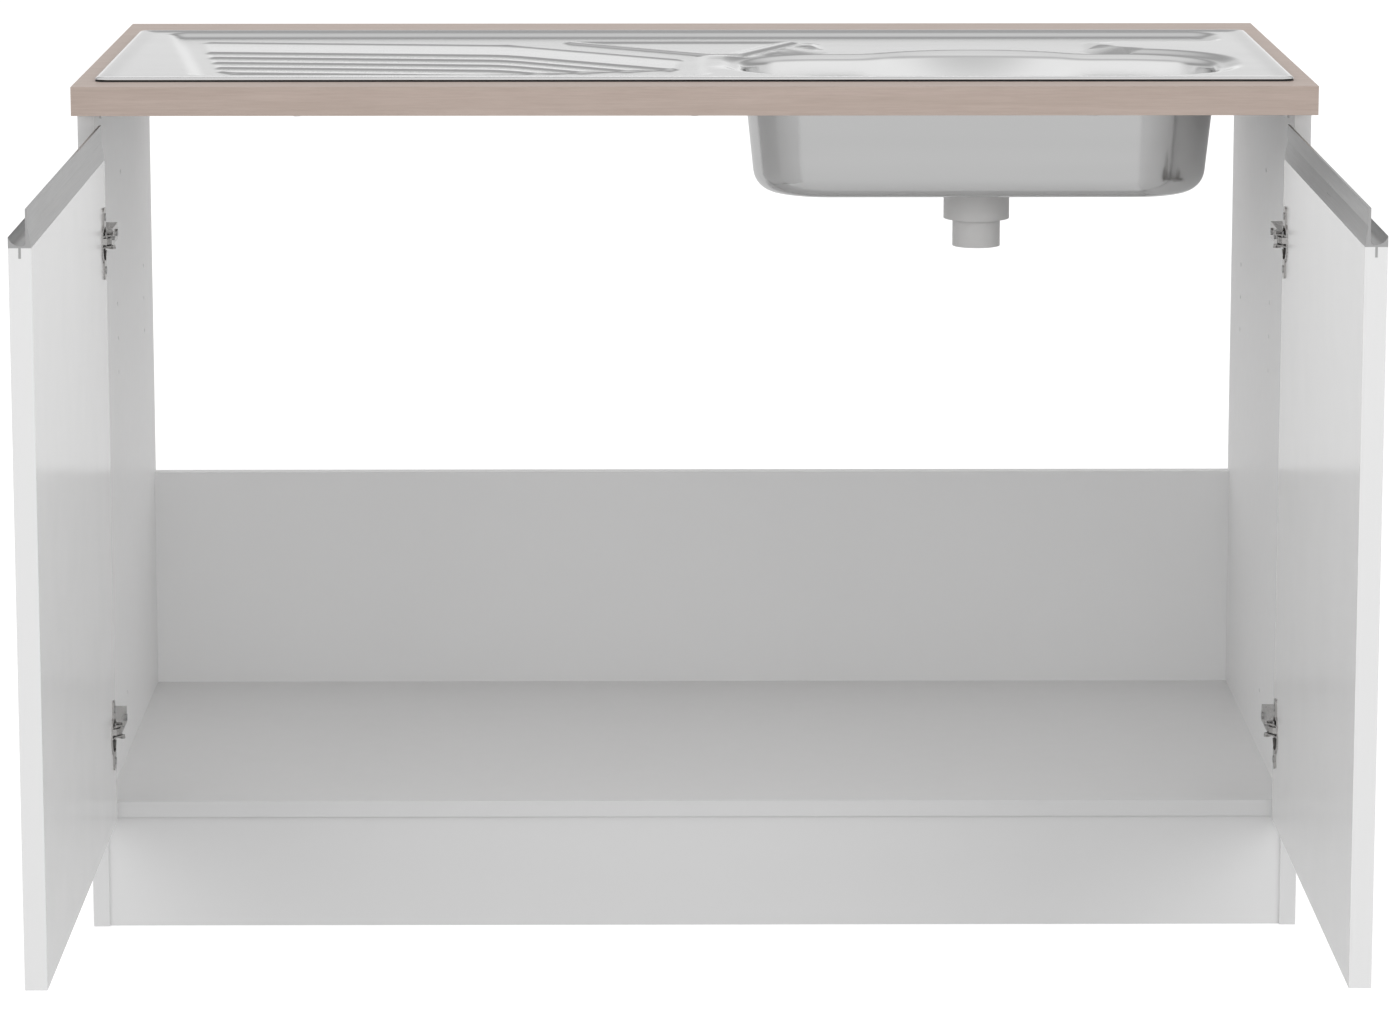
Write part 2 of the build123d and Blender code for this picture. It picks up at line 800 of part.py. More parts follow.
def tray_outline():
    """The pressed-down area: drainer, rear channel and the ledge round the bowl."""
    drainer = [
        (drainer_left(tray_back), tray_back),
        (drainer_left(tray_front), tray_front),
        (drainer_right, tray_front),
        (drainer_right, tray_back),
    ]
    face = fillet(make_face(Polyline(*drainer, close=True)).vertices(), tray_corner)
    channel_start = drainer_right - channel_width
    middle = ((channel_start + tray_right) / 2, tray_back - channel_width / 2)
    face += Pos(*middle) * RectangleRounded(tray_right - channel_start, channel_width, 2 * tray_corner)
    face += offset(drainer_panel(), panel_moat, kind=Kind.ARC)
    face += bowl_outline(bowl_ledge)
    link = (bowl_centre, (tray_back - channel_width + bowl_mid_y) / 2)
    face += Pos(*link) * RectangleRounded(bowl_link_width, tray_back - bowl_mid_y, tray_corner)
    return face


def drainer_band():
    """The broad raised band: nearly level from the left, then slanting forward to a square end."""
    rear_y = tray_back - band_rear_gap
    bend_y = rear_y - band_fall
    end_y = bend_y - band_steep_fall
    end_x = drainer_right - band_right_gap
    bend_x = end_x - band_bend_from_end
    return rounded([
        (drainer_left(rear_y) + band_left_gap, rear_y),
        (bend_x, bend_y),
        (end_x, end_y),
        (end_x - band_left_gap / 4, end_y - band_width + relief_corner),
        (bend_x, bend_y - band_width - relief_corner),
        (drainer_left(rear_y - band_width) + band_left_gap, rear_y - band_width),
    ])


def drainer_panel():
    """The three-sided raised panel between the band, the rear channel and the bowl."""
    rear_y = tray_back - panel_rear_gap
    foot_y = rear_y - panel_depth
    foot_x = bowl_left - panel_foot_from_bowl
    return rounded([
        (foot_x - panel_left_reach, rear_y),
        (foot_x + panel_foot_width + panel_right_reach, rear_y),
        (foot_x + panel_foot_width, foot_y),
        (foot_x, foot_y),
    ])


def drainer_ribs():
    """Narrow ribs in front of the band and parallel to it, cut short at the tray's front."""
    limit = tray_front + rib_front_gap
    end_x = drainer_right - band_right_gap
    bend_x = end_x - band_bend_from_end
    ribs = []
    for index in range(rib_count):
        y = tray_back - band_rear_gap - band_width - rib_pitch * (index + 1)
        start = (drainer_left(y) + band_left_gap, y)
        bend = (bend_x, y - band_fall)
        end = (end_x, y - band_fall - band_steep_fall)
        line = [start]
        for (x0, y0), (x1, y1) in ((start, bend), (bend, end)):
            share = min(1, (y0 - limit) / (y0 - y1))
            if share > 0:
                line.append((x0 + (x1 - x0) * share, y0 + (y1 - y0) * share))
        ribs.append(strip(line, rib_half_width))
    return ribs


def sink_deck():
    """The steel top: outer lip, bead, flat deck, pressed tray and drainer ribs."""
    lip_foot = height + seal_thickness
    deck = slab(sink_outline(0, sink_corner), deck_top - steel, deck_top)
    lip = sink_outline(0, sink_corner) - sink_outline(steel, sink_corner)
    deck += slab(lip, lip_foot, deck_top - steel / 2)
    bead = sink_outline(bead_inset, sink_corner) - sink_outline(bead_inset + bead_width, sink_corner)
    bead_solid = slab(bead, deck_top - steel / 2, deck_top + bead_height)
    top_edges = bead_solid.faces().sort_by(Axis.Z)[-1].edges()
    deck += fillet(top_edges, bead_height / 2)
    tray = tray_outline()
    wall = offset(tray, steel, kind=Kind.ARC)
    deck += slab(wall, tray_floor - steel, deck_top - steel / 2)
    deck -= slab(tray, tray_floor, deck_top + 1)
    for outline in [drainer_band(), drainer_panel()] + drainer_ribs():
        deck += slab(outline, tray_floor - steel / 2, tray_floor + relief_height)
    deck -= slab(bowl_outline(0), tray_floor - 2 * steel, deck_top + 1)
    return deck


def bowl_shell(shrink, top, bottom, rounding):
    """A tapered, round-bottomed bowl body, used for its outside and its inside."""
    body = Pos(0, 0, top) * extrude(bowl_outline(-shrink), -(top - bottom), taper=bowl_taper)
    low_edges = body.faces().sort_by(Axis.Z)[0].edges()
    return fillet(low_edges, rounding)


def sink_bowl():
    """The bowl, welded by its flange to the underside of the tray."""
    top = tray_floor - steel
    bottom = top - bowl_drop
    shell = bowl_shell(0, top, bottom, bowl_floor_radius)
    flange = bowl_outline(bowl_flange) - bowl_outline(-steel)
    shell += slab(flange, top - steel, top)
    shell -= bowl_shell(steel, top, bottom + steel, bowl_floor_radius - steel)
    shell -= upright(bowl_centre, drain_y, bottom - 1, bottom + steel + 1, drain_hole_radius)
    return shell


def sink_seal():
    ring = sink_outline(steel / 2, sink_corner) - sink_outline(seal_width, sink_corner)
    return slab(ring, height, height + seal_thickness)


# ---------------------------------------------------------------- drain

bowl_floor = tray_floor - steel - bowl_drop
drain_neck_radius = drain_hole_radius - drain_fit


def drain_strainer():
    """The steel flange in the bowl's floor, dished and pierced."""
    top = bowl_floor + steel
    dish_floor = top - drain_dish_depth
    t = drain_flange_thickness
    flange = upright(bowl_centre, drain_y, top, top + t, drain_flange_radius)
    flange += upright(bowl_centre, drain_y, dish_floor, top + t / 2, drain_neck_radius)
    flange -= upright(bowl_centre, drain_y, dish_floor + t, top + t + 1, drain_neck_radius - t)
    for index in range(strainer_holes):
        angle = 2 * math.pi * index / strainer_holes
        x = bowl_centre + strainer_hole_circle * math.cos(angle)
        y = drain_y + strainer_hole_circle * math.sin(angle)
        flange -= upright(x, y, dish_floor - 1, dish_floor + t + 1, strainer_hole_radius)
    flange -= upright(bowl_centre, drain_y, dish_floor - 1, dish_floor + t + 1,
                      drain_screw_radius + joint_fit)
    return flange


def drain_gasket():
    ring = upright(bowl_centre, drain_y, bowl_floor - gasket_thickness, bowl_floor, drain_body_radius)
    return ring - upright(bowl_centre, drain_y, bowl_floor - gasket_thickness - 1, bowl_floor + 1,
                          drain_hole_radius)


def drain_body():
    """The waste body under the bowl, with its bridge for the screw and its threaded tail."""
    top = bowl_floor - gasket_thickness
    base = top - drain_body_height
    x, y = bowl_centre, drain_y
    body = upright(x, y, base, top, drain_body_radius)
    body -= upright(x, y, base + drain_wall, top + 1, drain_body_radius - drain_wall)
    body += upright(x, y, base - tail_length, base + drain_wall / 2, tail_radius)
    body -= upright(x, y, base - tail_length - 1, base + drain_wall + 1, tail_bore_radius)
    bridge_top = base + 3 * drain_wall
    reach = drain_body_radius - drain_wall / 2
    body += block(x - reach, x + reach, y - drain_wall, y + drain_wall, base + drain_wall / 2, bridge_top)
    body += upright(x, y, base + drain_wall / 2, bridge_top, 2 * drain_screw_radius)
    body -= upright(x, y, base - 1, bridge_top + 1, drain_screw_radius + joint_fit)
    return body


def drain_screw():
    """The screw that draws the strainer and the waste body together."""
    dish_top = bowl_floor + steel - drain_dish_depth + drain_flange_thickness
    base = bowl_floor - gasket_thickness - drain_body_height
    screw = upright(bowl_centre, drain_y, base, dish_top, drain_screw_radius)
    head = upright(bowl_centre, drain_y, dish_top, dish_top + screw_head_height, 2 * drain_screw_radius)
    slot = block(bowl_centre - 2 * drain_screw_radius, bowl_centre + 2 * drain_screw_radius,
                 drain_y - drain_slot_half, drain_y + drain_slot_half,
                 dish_top + screw_head_height / 2, dish_top + screw_head_height + 1)
    return screw + head - slot


# ---------------------------------------------------------------- sink clips

def clip_places():
    """Clip positions on the cut-out's edge and the turn that points each foot outward."""
    half_x = sink_length / 2 - cutout_setback
    half_y = sink_depth / 2 - cutout_setback
    places = [(-half_x, sink_mid_y, 2 * quarter_turn), (half_x, sink_mid_y, 0)]
    for x in (-clip_spread * half_x, 0, clip_spread * half_x):
        places.append((x, sink_mid_y - half_y, -quarter_turn))
        places.append((x, sink_mid_y + half_y, quarter_turn))
    return places


def sink_clip():
    """One clip, drawn at the cut-out's edge with its foot towards +X."""
    t = clip_thickness
    top = deck_top - steel
    foot_top = carcass_height - clip_drop
    w = clip_width / 2
    leg = block(-clip_edge_gap - t, -clip_edge_gap, -w, w, foot_top - t, top)
    head = block(-clip_edge_gap - 4 * t, -clip_edge_gap, -w, w, top - t, top)
    foot = block(-clip_edge_gap - t, clip_foot, -w, w, foot_top - t, foot_top)
    foot -= upright(clip_foot / 2, 0, foot_top - 2 * t, foot_top + 1, clip_screw_radius + joint_fit)
    return leg + head + foot


def clip_screw():
    """One screw, up through the clip's foot against the worktop."""
    foot_bottom = carcass_height - clip_drop - clip_thickness
    screw = upright(clip_foot / 2, 0, foot_bottom, carcass_height, clip_screw_radius)
    return screw + upright(clip_foot / 2, 0, foot_bottom - screw_head_height, foot_bottom, screw_head_radius)


def at_clips(piece):
    return [Pos(x, y, 0) * Rot(0, 0, turn) * piece for x, y, turn in clip_places()]


# ---------------------------------------------------------------- worktop brackets

def bracket_places():
    return (carcass_front + bracket_front, rear - bracket_rear)


def bracket_side_screw(y, grow):
    face = -inner_half + bracket_thickness
    z = carcass_height - bracket_leg / 2 - bracket_thickness / 2
    shank = crosswise(face - bracket_screw_length - grow, face + grow, y, z, bracket_screw_radius + grow)
    if grow:
        return shank
    return shank + crosswise(face, face + screw_head_height, y, z, screw_head_radius)


def bracket_top_screw(y, grow):
    x = -inner_half + bracket_leg / 2 + bracket_thickness / 2
    under = carcass_height - bracket_thickness
    y += bracket_width / 4
    shank = upright(x, y, under - grow, under + bracket_screw_length + grow, bracket_screw_radius + grow)
    if grow:
        return shank
    return shank + upright(x, y, under - screw_head_height, under, screw_head_radius)


def worktop_bracket(y):
    """An angle that ties the side to the worktop."""
    x0 = -inner_half
    y0, y1 = y - bracket_width / 2, y + bracket_width / 2
    t = bracket_thickness
    angle = block(x0, x0 + t, y0, y1, carcass_height - bracket_leg, carcass_height)
    angle += block(x0, x0 + bracket_leg, y0, y1, carcass_height - t, carcass_height)
    angle -= bracket_side_screw(y, joint_fit)
    angle -= bracket_top_screw(y, joint_fit)
    return angle


def both_sides(pieces):
    return pieces + [right_hand(piece) for piece in pieces]


def at_hinges(maker):
    """What the maker gives at both hinge heights, as one flat list."""
    solids = []
    for z in hinge_heights:
        made = maker(z)
        solids.extend(made if isinstance(made, list) else [made])
    return solids


def main():
    os.makedirs("parts", exist_ok=True)
    save_pair("side_panel", side_panel())
    save("floor_panel", floor_panel())
    save("plinth_board", plinth_board())
    save("back_rail", back_rail())
    save("carcass_edge_bands", *carcass_edge_bands())
    rows = joint_rows()
    save("joint_dowels", *both_sides([dowel(y, z, 0) for y, z in dowel_places()]))
    save("cam_bolts", *both_sides([cam_bolt(y, z, 0) for y, z, face, step in rows]))
    save("cam_discs", *both_sides([cam(y, z, face) for y, z, face, step in rows]))
    save("worktop", worktop())
    save("worktop_edge_bands", *worktop_edge_bands())
    save("worktop_brackets", *both_sides([worktop_bracket(y) for y in bracket_places()]))
    bracket_screws = [bracket_side_screw(y, 0) for y in bracket_places()]
    bracket_screws += [bracket_top_screw(y, 0) for y in bracket_places()]
    save("bracket_screws", *both_sides(bracket_screws))
    save("sink_deck", sink_deck())
    save("sink_bowl", sink_bowl())
    save("sink_seal", sink_seal())
    save("sink_clips", *at_clips(sink_clip()))
    save("sink_clip_screws", *at_clips(clip_screw()))
    save("drain_strainer", drain_strainer())
    save("drain_gasket", drain_gasket())
    save("drain_body", drain_body())
    save("drain_screw", drain_screw())
    save_pair("mounting_plates", *at_hinges(mounting_plate))
    save_pair("plate_screws", *at_hinges(plate_screws))
    save_pair("hinge_arms", *at_hinges(hinge_arm))
    save_pair("arm_screws", *at_hinges(arm_screws))
    save_pair("arm_pins", *at_hinges(arm_pins))
    save_pair("outer_links", *at_hinges(outer_link))
    save_pair("inner_links", *at_hinges(inner_links))
    save_pair("hinge_cups", *at_hinges(hinge_cup))
    save_pair("cup_pins", *at_hinges(cup_pins))
    save_pair("cup_screws", *at_hinges(cup_screws))
    save_pair("door_panel", door_panel())
    save_pair("handle_profile", handle_profile())


main()
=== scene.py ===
"""The looks of the sink base cabinet: pressed steel sink, finishes, floor, light and camera."""

import json
import math

import bpy
import numpy as np
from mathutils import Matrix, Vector
from mathutils.geometry import delaunay_2d_cdt


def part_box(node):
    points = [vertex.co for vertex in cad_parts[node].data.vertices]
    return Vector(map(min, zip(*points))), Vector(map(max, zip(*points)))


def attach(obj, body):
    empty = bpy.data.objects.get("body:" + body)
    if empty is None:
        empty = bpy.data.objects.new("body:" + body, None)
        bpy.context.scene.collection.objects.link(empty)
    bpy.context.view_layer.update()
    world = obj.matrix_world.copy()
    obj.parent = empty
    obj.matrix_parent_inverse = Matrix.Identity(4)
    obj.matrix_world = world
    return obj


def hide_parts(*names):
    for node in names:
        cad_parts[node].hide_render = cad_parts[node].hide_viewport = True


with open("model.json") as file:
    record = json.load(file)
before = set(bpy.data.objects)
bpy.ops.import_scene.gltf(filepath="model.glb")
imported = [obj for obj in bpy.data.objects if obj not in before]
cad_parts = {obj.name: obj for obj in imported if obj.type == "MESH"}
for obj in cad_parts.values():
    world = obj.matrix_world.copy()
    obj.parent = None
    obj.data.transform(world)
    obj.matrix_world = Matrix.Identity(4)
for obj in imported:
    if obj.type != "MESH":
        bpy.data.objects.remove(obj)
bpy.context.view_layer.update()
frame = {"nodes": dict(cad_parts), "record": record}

MM = 0.001

# ---------------------------------------------------------------- camera

CAMERA_PLACE = (-0.02736, -5.0664, 1.4180)
CAMERA_PITCH = 0.1727
CAMERA_TURN = -0.0064
CAMERA_LENS = 134.66
CAMERA_SENSOR = 36.0
CAMERA_SHIFT = -0.08
CAMERA_REACH = 200.0


def make_camera():
    """The photograph's viewpoint: straight in front, a little above the worktop."""
    data = bpy.data.cameras.new("camera")
    data.lens = CAMERA_LENS
    data.sensor_width = CAMERA_SENSOR
    data.shift_y = CAMERA_SHIFT
    data.clip_end = CAMERA_REACH
    camera = bpy.data.objects.new("camera", data)
    camera.location = CAMERA_PLACE
    camera.rotation_euler = (math.pi / 2 - CAMERA_PITCH, 0, CAMERA_TURN)
    bpy.context.scene.collection.objects.link(camera)
    bpy.context.scene.camera = camera


# ---------------------------------------------------------------- node helpers

NOISE_LOW, NOISE_HIGH = 0.3, 0.7


def grey(level, warm=0.0):
    """A grey's colour, with a little more red and less blue where it is warm."""
    return (level * (1 + warm), level, level * (1 - warm), 1)


class Shader:
    """A material's node tree with short calls for the nodes that the finishes use."""

    def __init__(self, name, **values):
        self.material = bpy.data.materials.new(name)
        self.material.use_nodes = True
        self.tree = self.material.node_tree
        self.bsdf = self.tree.nodes["Principled BSDF"]
        for key, value in values.items():
            self.bsdf.inputs[key.replace("_", " ").title().replace("Ior", "IOR")].default_value = value

    def add(self, kind, **settings):
        node = self.tree.nodes.new(kind)
        for key, value in settings.items():
            setattr(node, key, value)
        return node

    def put(self, value, socket):
        """A link where value is another node's output, else a plain setting."""
        if isinstance(value, bpy.types.NodeSocket):
            self.tree.links.new(value, socket)
        else:
            socket.default_value = value

    def place(self):
        """Object coordinates: metres in the model's own frame."""
        return self.add("ShaderNodeTexCoord").outputs["Object"]

    def facing(self, axis):
        """How far the surface faces along an axis of the model, 0 to 1, whatever the sign."""
        split = self.add("ShaderNodeSeparateXYZ")
        self.put(self.add("ShaderNodeTexCoord").outputs["Normal"], split.inputs[0])
        return self.math("ABSOLUTE", split.outputs[axis])

    def stretched(self, scale, place):
        """Coordinates scaled axis by axis, so that a noise over them runs along one axis."""
        node = self.add("ShaderNodeMapping")
        self.put(place, node.inputs["Vector"])
        node.inputs["Scale"].default_value = scale
        return node.outputs[0]

    def noise(self, vector, scale, detail, roughness=0.5, distortion=0.0):
        node = self.add("ShaderNodeTexNoise")
        settings = {"Vector": vector, "Scale": scale, "Detail": detail, "Roughness": roughness,
                    "Distortion": distortion}
        for name, value in settings.items():
            self.put(value, node.inputs[name])
        return node.outputs["Fac"]

    def math(self, operation, a, b=0.0):
        node = self.add("ShaderNodeMath", operation=operation)
        self.put(a, node.inputs[0])
        self.put(b, node.inputs[1])
        return node.outputs[0]

    def between(self, value, low, high, to_low, to_high):
        """Value's range low..high carried over to to_low..to_high, clamped."""
        node = self.add("ShaderNodeMapRange")
        settings = {"Value": value, "From Min": low, "From Max": high, "To Min": to_low, "To Max": to_high}
        for name, number in settings.items():
            self.put(number, node.inputs[name])
        return node.outputs[0]

    def blend(self, factor, a, b):
        node = self.add("ShaderNodeMix", data_type="RGBA")
        self.put(factor, node.inputs["Factor"])
        self.put(a, node.inputs[6])
        self.put(b, node.inputs[7])
        return node.outputs[2]

    def bump(self, *layers):
        """Height layers, each (height, distance in metres, strength), one on another."""
        normal = None
        for height, distance_m, strength in layers:
            node = self.add("ShaderNodeBump")
            self.put(height, node.inputs["Height"])
            node.inputs["Distance"].default_value = distance_m
            node.inputs["Strength"].default_value = strength
            if normal:
                self.put(normal, node.inputs["Normal"])
            normal = node.outputs[0]
        self.put(normal, self.bsdf.inputs["Normal"])

    def colour(self, value):
        self.put(value, self.bsdf.inputs["Base Color"])

    def roughness(self, value):
        self.put(value, self.bsdf.inputs["Roughness"])

    def rough_with(self, noise, low, high):
        """Roughness that goes from low to high with a noise's usual range."""
        self.roughness(self.between(noise, NOISE_LOW, NOISE_HIGH, low, high))


# ---------------------------------------------------------------- finishes

BOARD_WHITE = 0.82
EDGE_WHITE = 0.79
FRONT_WHITE = 0.86
OAK_PALE = (0.53, 0.435, 0.385, 1)
OAK_MID = (0.49, 0.40, 0.35, 1)
OAK_DARK = (0.42, 0.33, 0.285, 1)
OAK_ALONG, OAK_ACROSS = 9.0, 210.0
OAK_PORE_SHARE = 0.35
BEECH_PALE = (0.55, 0.38, 0.23, 1)
BEECH_DARK = (0.42, 0.26, 0.15, 1)


def white_board():
    """Melamine-faced board: even white, satin, with the faint pebble of its press plate."""
    s = Shader("white_board", specular_ior_level=0.35)
    place = s.place()
    cloud = s.noise(place, scale=3.0, detail=3.0)
    pebble = s.noise(place, scale=900.0, detail=2.0)
    s.colour(s.blend(cloud, grey(BOARD_WHITE * 0.985), grey(BOARD_WHITE * 1.015)))
    s.rough_with(s.noise(place, scale=60.0, detail=3.0), 0.36, 0.46)
    s.bump((pebble, 0.00003, 0.5), (s.noise(place, scale=220.0, detail=2.0), 0.00003, 0.3))
    return s.material


def white_edging():
    """Plastic edging tape: a little greyer and smoother, with fine lines along its length."""
    s = Shader("white_edging", specular_ior_level=0.4)
    place = s.place()
    lines = s.noise(s.stretched((900.0, 900.0, 12.0), place), scale=1.0, detail=2.0)
    s.colour(s.blend(s.noise(place, scale=8.0, detail=2.0), grey(EDGE_WHITE * 0.98), grey(EDGE_WHITE * 1.02)))
    s.rough_with(lines, 0.30, 0.38)
    s.bump((lines, 0.00002, 0.4))
    return s.material


def oak(name, contrast):
    """Pale oak laminate: streaks and pores along X, or along Y on the two ends."""
    s = Shader(name, specular_ior_level=0.4)
    place = s.place()
    along_x = s.stretched((OAK_ALONG, OAK_ACROSS, OAK_ACROSS), place)
    along_y = s.stretched((OAK_ACROSS, OAK_ALONG, OAK_ACROSS), place)
    run = s.blend(s.between(s.facing("X"), 0.4, 0.6, 0.0, 1.0), along_x, along_y)
    waves = s.noise(run, scale=0.5, detail=3.0, roughness=0.6, distortion=0.5)
    streaks = s.noise(run, scale=3.0, detail=5.0, roughness=0.65, distortion=0.2)
    pores = s.noise(run, scale=9.0, detail=3.0, roughness=0.7)
    pore_lines = s.between(pores, 0.58, 0.70, 0.0, 1.0)
    tone = s.blend(s.between(waves, 0.35, 0.65, 0.0, 1.0), OAK_MID, OAK_PALE)
    tone = s.blend(s.between(streaks, 0.40, 0.66, 0.0, contrast), tone, OAK_DARK)
    tone = s.blend(s.math("MULTIPLY", pore_lines, OAK_PORE_SHARE * contrast), tone, OAK_DARK)
    s.colour(tone)
    s.rough_with(streaks, 0.38, 0.52)
    s.bump((streaks, 0.00006, 0.35), (pore_lines, -0.00008, 0.5))
    return s.material


def beech():
    """Dowel wood: pinkish, with short darker flecks."""
    s = Shader("beech_dowel")
    flecks = s.noise(s.stretched((90.0, 900.0, 900.0), s.place()), scale=1.0, detail=3.0)
    s.colour(s.blend(s.between(flecks, 0.45, 0.65, 0.0, 1.0), BEECH_PALE, BEECH_DARK))
    s.rough_with(flecks, 0.55, 0.7)
    s.bump((flecks, 0.00008, 0.5))
    return s.material


def metal(name, level, rough, spread, run=(400.0, 400.0, 400.0), depth=0.00002, warm=0.0):
    """A metal with a slight variation of tone and gloss; run stretches it where it was brushed."""
    s = Shader(name, metallic=1.0)
    place = s.place()
    grain = s.noise(s.stretched(run, place), scale=1.0, detail=3.0)
    cloud = s.noise(place, scale=25.0, detail=3.0)
    s.colour(s.blend(cloud, grey(level * 0.94, warm), grey(level * 1.05, warm)))
    both = s.math("ADD", grain, s.math("MULTIPLY", cloud, 0.5))
    s.roughness(s.between(both, NOISE_LOW * 1.5, NOISE_HIGH * 1.5, rough - spread, rough + spread))
    s.bump((grain, depth, 0.5))
    return s.material


def stainless_sink():
    """Satin stainless steel: brushed along its length, with faint rolling bands."""
    s = Shader("stainless_sink", metallic=1.0, specular_tint=grey(0.95))
    place = s.place()
    brushed = s.noise(s.stretched((14.0, 1500.0, 1500.0), place), scale=1.0, detail=3.0)
    bands = s.noise(s.stretched((1.2, 22.0, 22.0), place), scale=1.0, detail=2.0)
    s.colour(s.blend(bands, grey(0.60), grey(0.69)))
    s.rough_with(brushed, 0.13, 0.17)
    s.bump((brushed, 0.000006, 0.4))
    return s.material


def white_gloss_front():
    """High-gloss white lacquer, with the slight wave of its surface."""
    s = Shader("white_gloss_front", specular_ior_level=0.4)
    place = s.place()
    cloud = s.noise(place, scale=2.5, detail=2.0)
    s.colour(s.blend(cloud, grey(FRONT_WHITE * 0.99), grey(FRONT_WHITE * 1.01)))
    s.rough_with(s.noise(place, scale=12.0, detail=3.0), 0.16, 0.18)
    s.bump((s.noise(place, scale=60.0, detail=1.0), 0.000001, 1.0))
    return s.material


def black_rubber():
    """Seal and gasket rubber: near black, matt, finely grained."""
    s = Shader("black_rubber")
    grain = s.noise(s.place(), scale=700.0, detail=3.0)
    s.colour(s.blend(grain, grey(0.015), grey(0.035)))
    s.rough_with(grain, 0.55, 0.75)
    s.bump((grain, 0.00006, 0.4))
    return s.material


def waste_plastic():
    """Moulded polypropylene: off-white, slightly cloudy, with a fine spark-eroded grain."""
    s = Shader("waste_plastic", specular_ior_level=0.4)
    place = s.place()
    grain = s.noise(place, scale=1200.0, detail=2.0)
    cloud = s.noise(place, scale=30.0, detail=3.0)
    s.colour(s.blend(cloud, grey(0.62, warm=0.01), grey(0.68, warm=0.01)))
    s.rough_with(grain, 0.38, 0.5)
    s.bump((grain, 0.00004, 0.4))
    return s.material


def make_finishes():
    """Every material slot of the record with its finish."""
    return {
        "white_board": white_board(),
        "white_edging": white_edging(),
        "worktop_laminate": oak("worktop_laminate", contrast=0.40),
        "worktop_edging": oak("worktop_edging", contrast=0.45),
        "beech_dowel": beech(),
        "zinc_fitting": metal("zinc_fitting", level=0.52, rough=0.42, spread=0.10),
        "zinc_plate": metal("zinc_plate", level=0.60, rough=0.34, spread=0.08),
        "stainless_sink": stainless_sink(),
        "polished_strainer": metal("polished_strainer", level=0.68, rough=0.14, spread=0.05),
        "black_rubber": black_rubber(),
        "waste_plastic": waste_plastic(),
        "white_gloss_front": white_gloss_front(),
        "satin_aluminium": metal("satin_aluminium", level=0.46, rough=0.33, spread=0.06,
                                 run=(1500.0, 10.0, 1500.0), depth=0.00001),
        "nickel_hinge": metal("nickel_hinge", level=0.46, rough=0.30, spread=0.08, warm=0.02),
        "steel_pin": metal("steel_pin", level=0.50, rough=0.30, spread=0.06),
        "hinge_screw": metal("hinge_screw", level=0.42, rough=0.36, spread=0.08),
    }


def dress_nodes(finishes):
    """Every carried-over node gets the finish of its material slot."""
    for part in frame["record"]["subparts"]:
        materials = frame["nodes"][part["node"]].data.materials
        materials.clear()
        materials.append(finishes[part["material_slot"]])


# ---------------------------------------------------------------- floor, world and lamps

FLOOR_REACH = 60.0
FLOOR_GAP = 0.0004
FLOOR_LEVEL = 0.46
SEEN_FLOOR_LEVEL = 0.36
SEEN_FLOOR_GLOW = 0.79
FLOOR_REFLECTED = 0.50

# The lighting's level from the front to the back, and its share from low down to overhead.
WORLD_FRONT, WORLD_FRONT_LEVEL = -0.6, 1.14
WORLD_BACK, WORLD_BACK_LEVEL = 0.8, 1.25
WORLD_LOW, WORLD_TOP, WORLD_TOP_SHADE = 0.2, 0.9, 0.65

# What reflections show instead: levels over the sine of the elevation, in front and behind.
REFLECTED_LEVEL = 1.30
HALVES_BLEND = 0.15
FRONT_SHADES = ((0.0, 0.92), (0.36, 0.98), (0.54, 0.58), (0.74, 0.52), (0.88, 0.86), (1.0, 0.76))
BACK_SHADES = ((0.0, 0.94), (0.10, 0.80), (0.19, 0.40), (0.37, 0.30), (0.52, 0.56), (0.74, 0.76),
               (1.0, 0.76))

LAMPS = (
    # name, place, aimed at, width, height, watts
    ("left_softbox", (-2.9, -4.4, 1.8), (0.0, 0.0, 0.4), 2.8, 2.6, 28.0),
    ("right_softbox", (3.3, -4.2, 1.8), (0.0, 0.0, 0.4), 2.8, 2.6, 38.0),
)


class Stage:
    """A short way to build the floor's and the world's node trees."""

    def __init__(self, owner):
        owner.use_nodes = True
        self.tree = owner.node_tree
        self.tree.nodes.clear()
        self.path = self.add("ShaderNodeLightPath").outputs

    def put(self, value, socket):
        """A link where value is another node's output, else a plain setting."""
        if isinstance(value, bpy.types.NodeSocket):
            self.tree.links.new(value, socket)
        else:
            socket.default_value = value

    def add(self, kind, *inputs, **settings):
        """A new node with its first inputs linked or set in order."""
        node = self.tree.nodes.new(kind)
        for key, value in settings.items():
            setattr(node, key, value)
        for socket, value in zip(node.inputs, inputs):
            self.put(value, socket)
        return node

    def seen(self):
        """1 for a camera, glossy or transmission ray, else 0."""
        direct = self.add("ShaderNodeMath", self.path["Is Camera Ray"], self.path["Is Glossy Ray"],
                          operation="MAXIMUM")
        return self.add("ShaderNodeMath", direct.outputs[0], self.path["Is Transmission Ray"],
                        operation="MAXIMUM").outputs[0]

    def shades(self, height, levels):
        """Levels at rising sines of the elevation, with a smooth run between them."""
        node = self.add("ShaderNodeValToRGB", height)
        ramp = node.color_ramp
        ramp.interpolation = "B_SPLINE"
        while len(ramp.elements) < len(levels):
            ramp.elements.new(0.5)
        for element, (place, level) in zip(ramp.elements, levels):
            element.position = place
            element.color = grey(level)
        return node.outputs[0]

    def by_reflection(self, plain, reflected):
        """A level that reflections see at another value than the eye does."""
        change = self.add("ShaderNodeMix", self.path["Is Glossy Ray"])
        self.put(plain, change.inputs["A"])
        self.put(reflected, change.inputs["B"])
        return change.outputs[0]


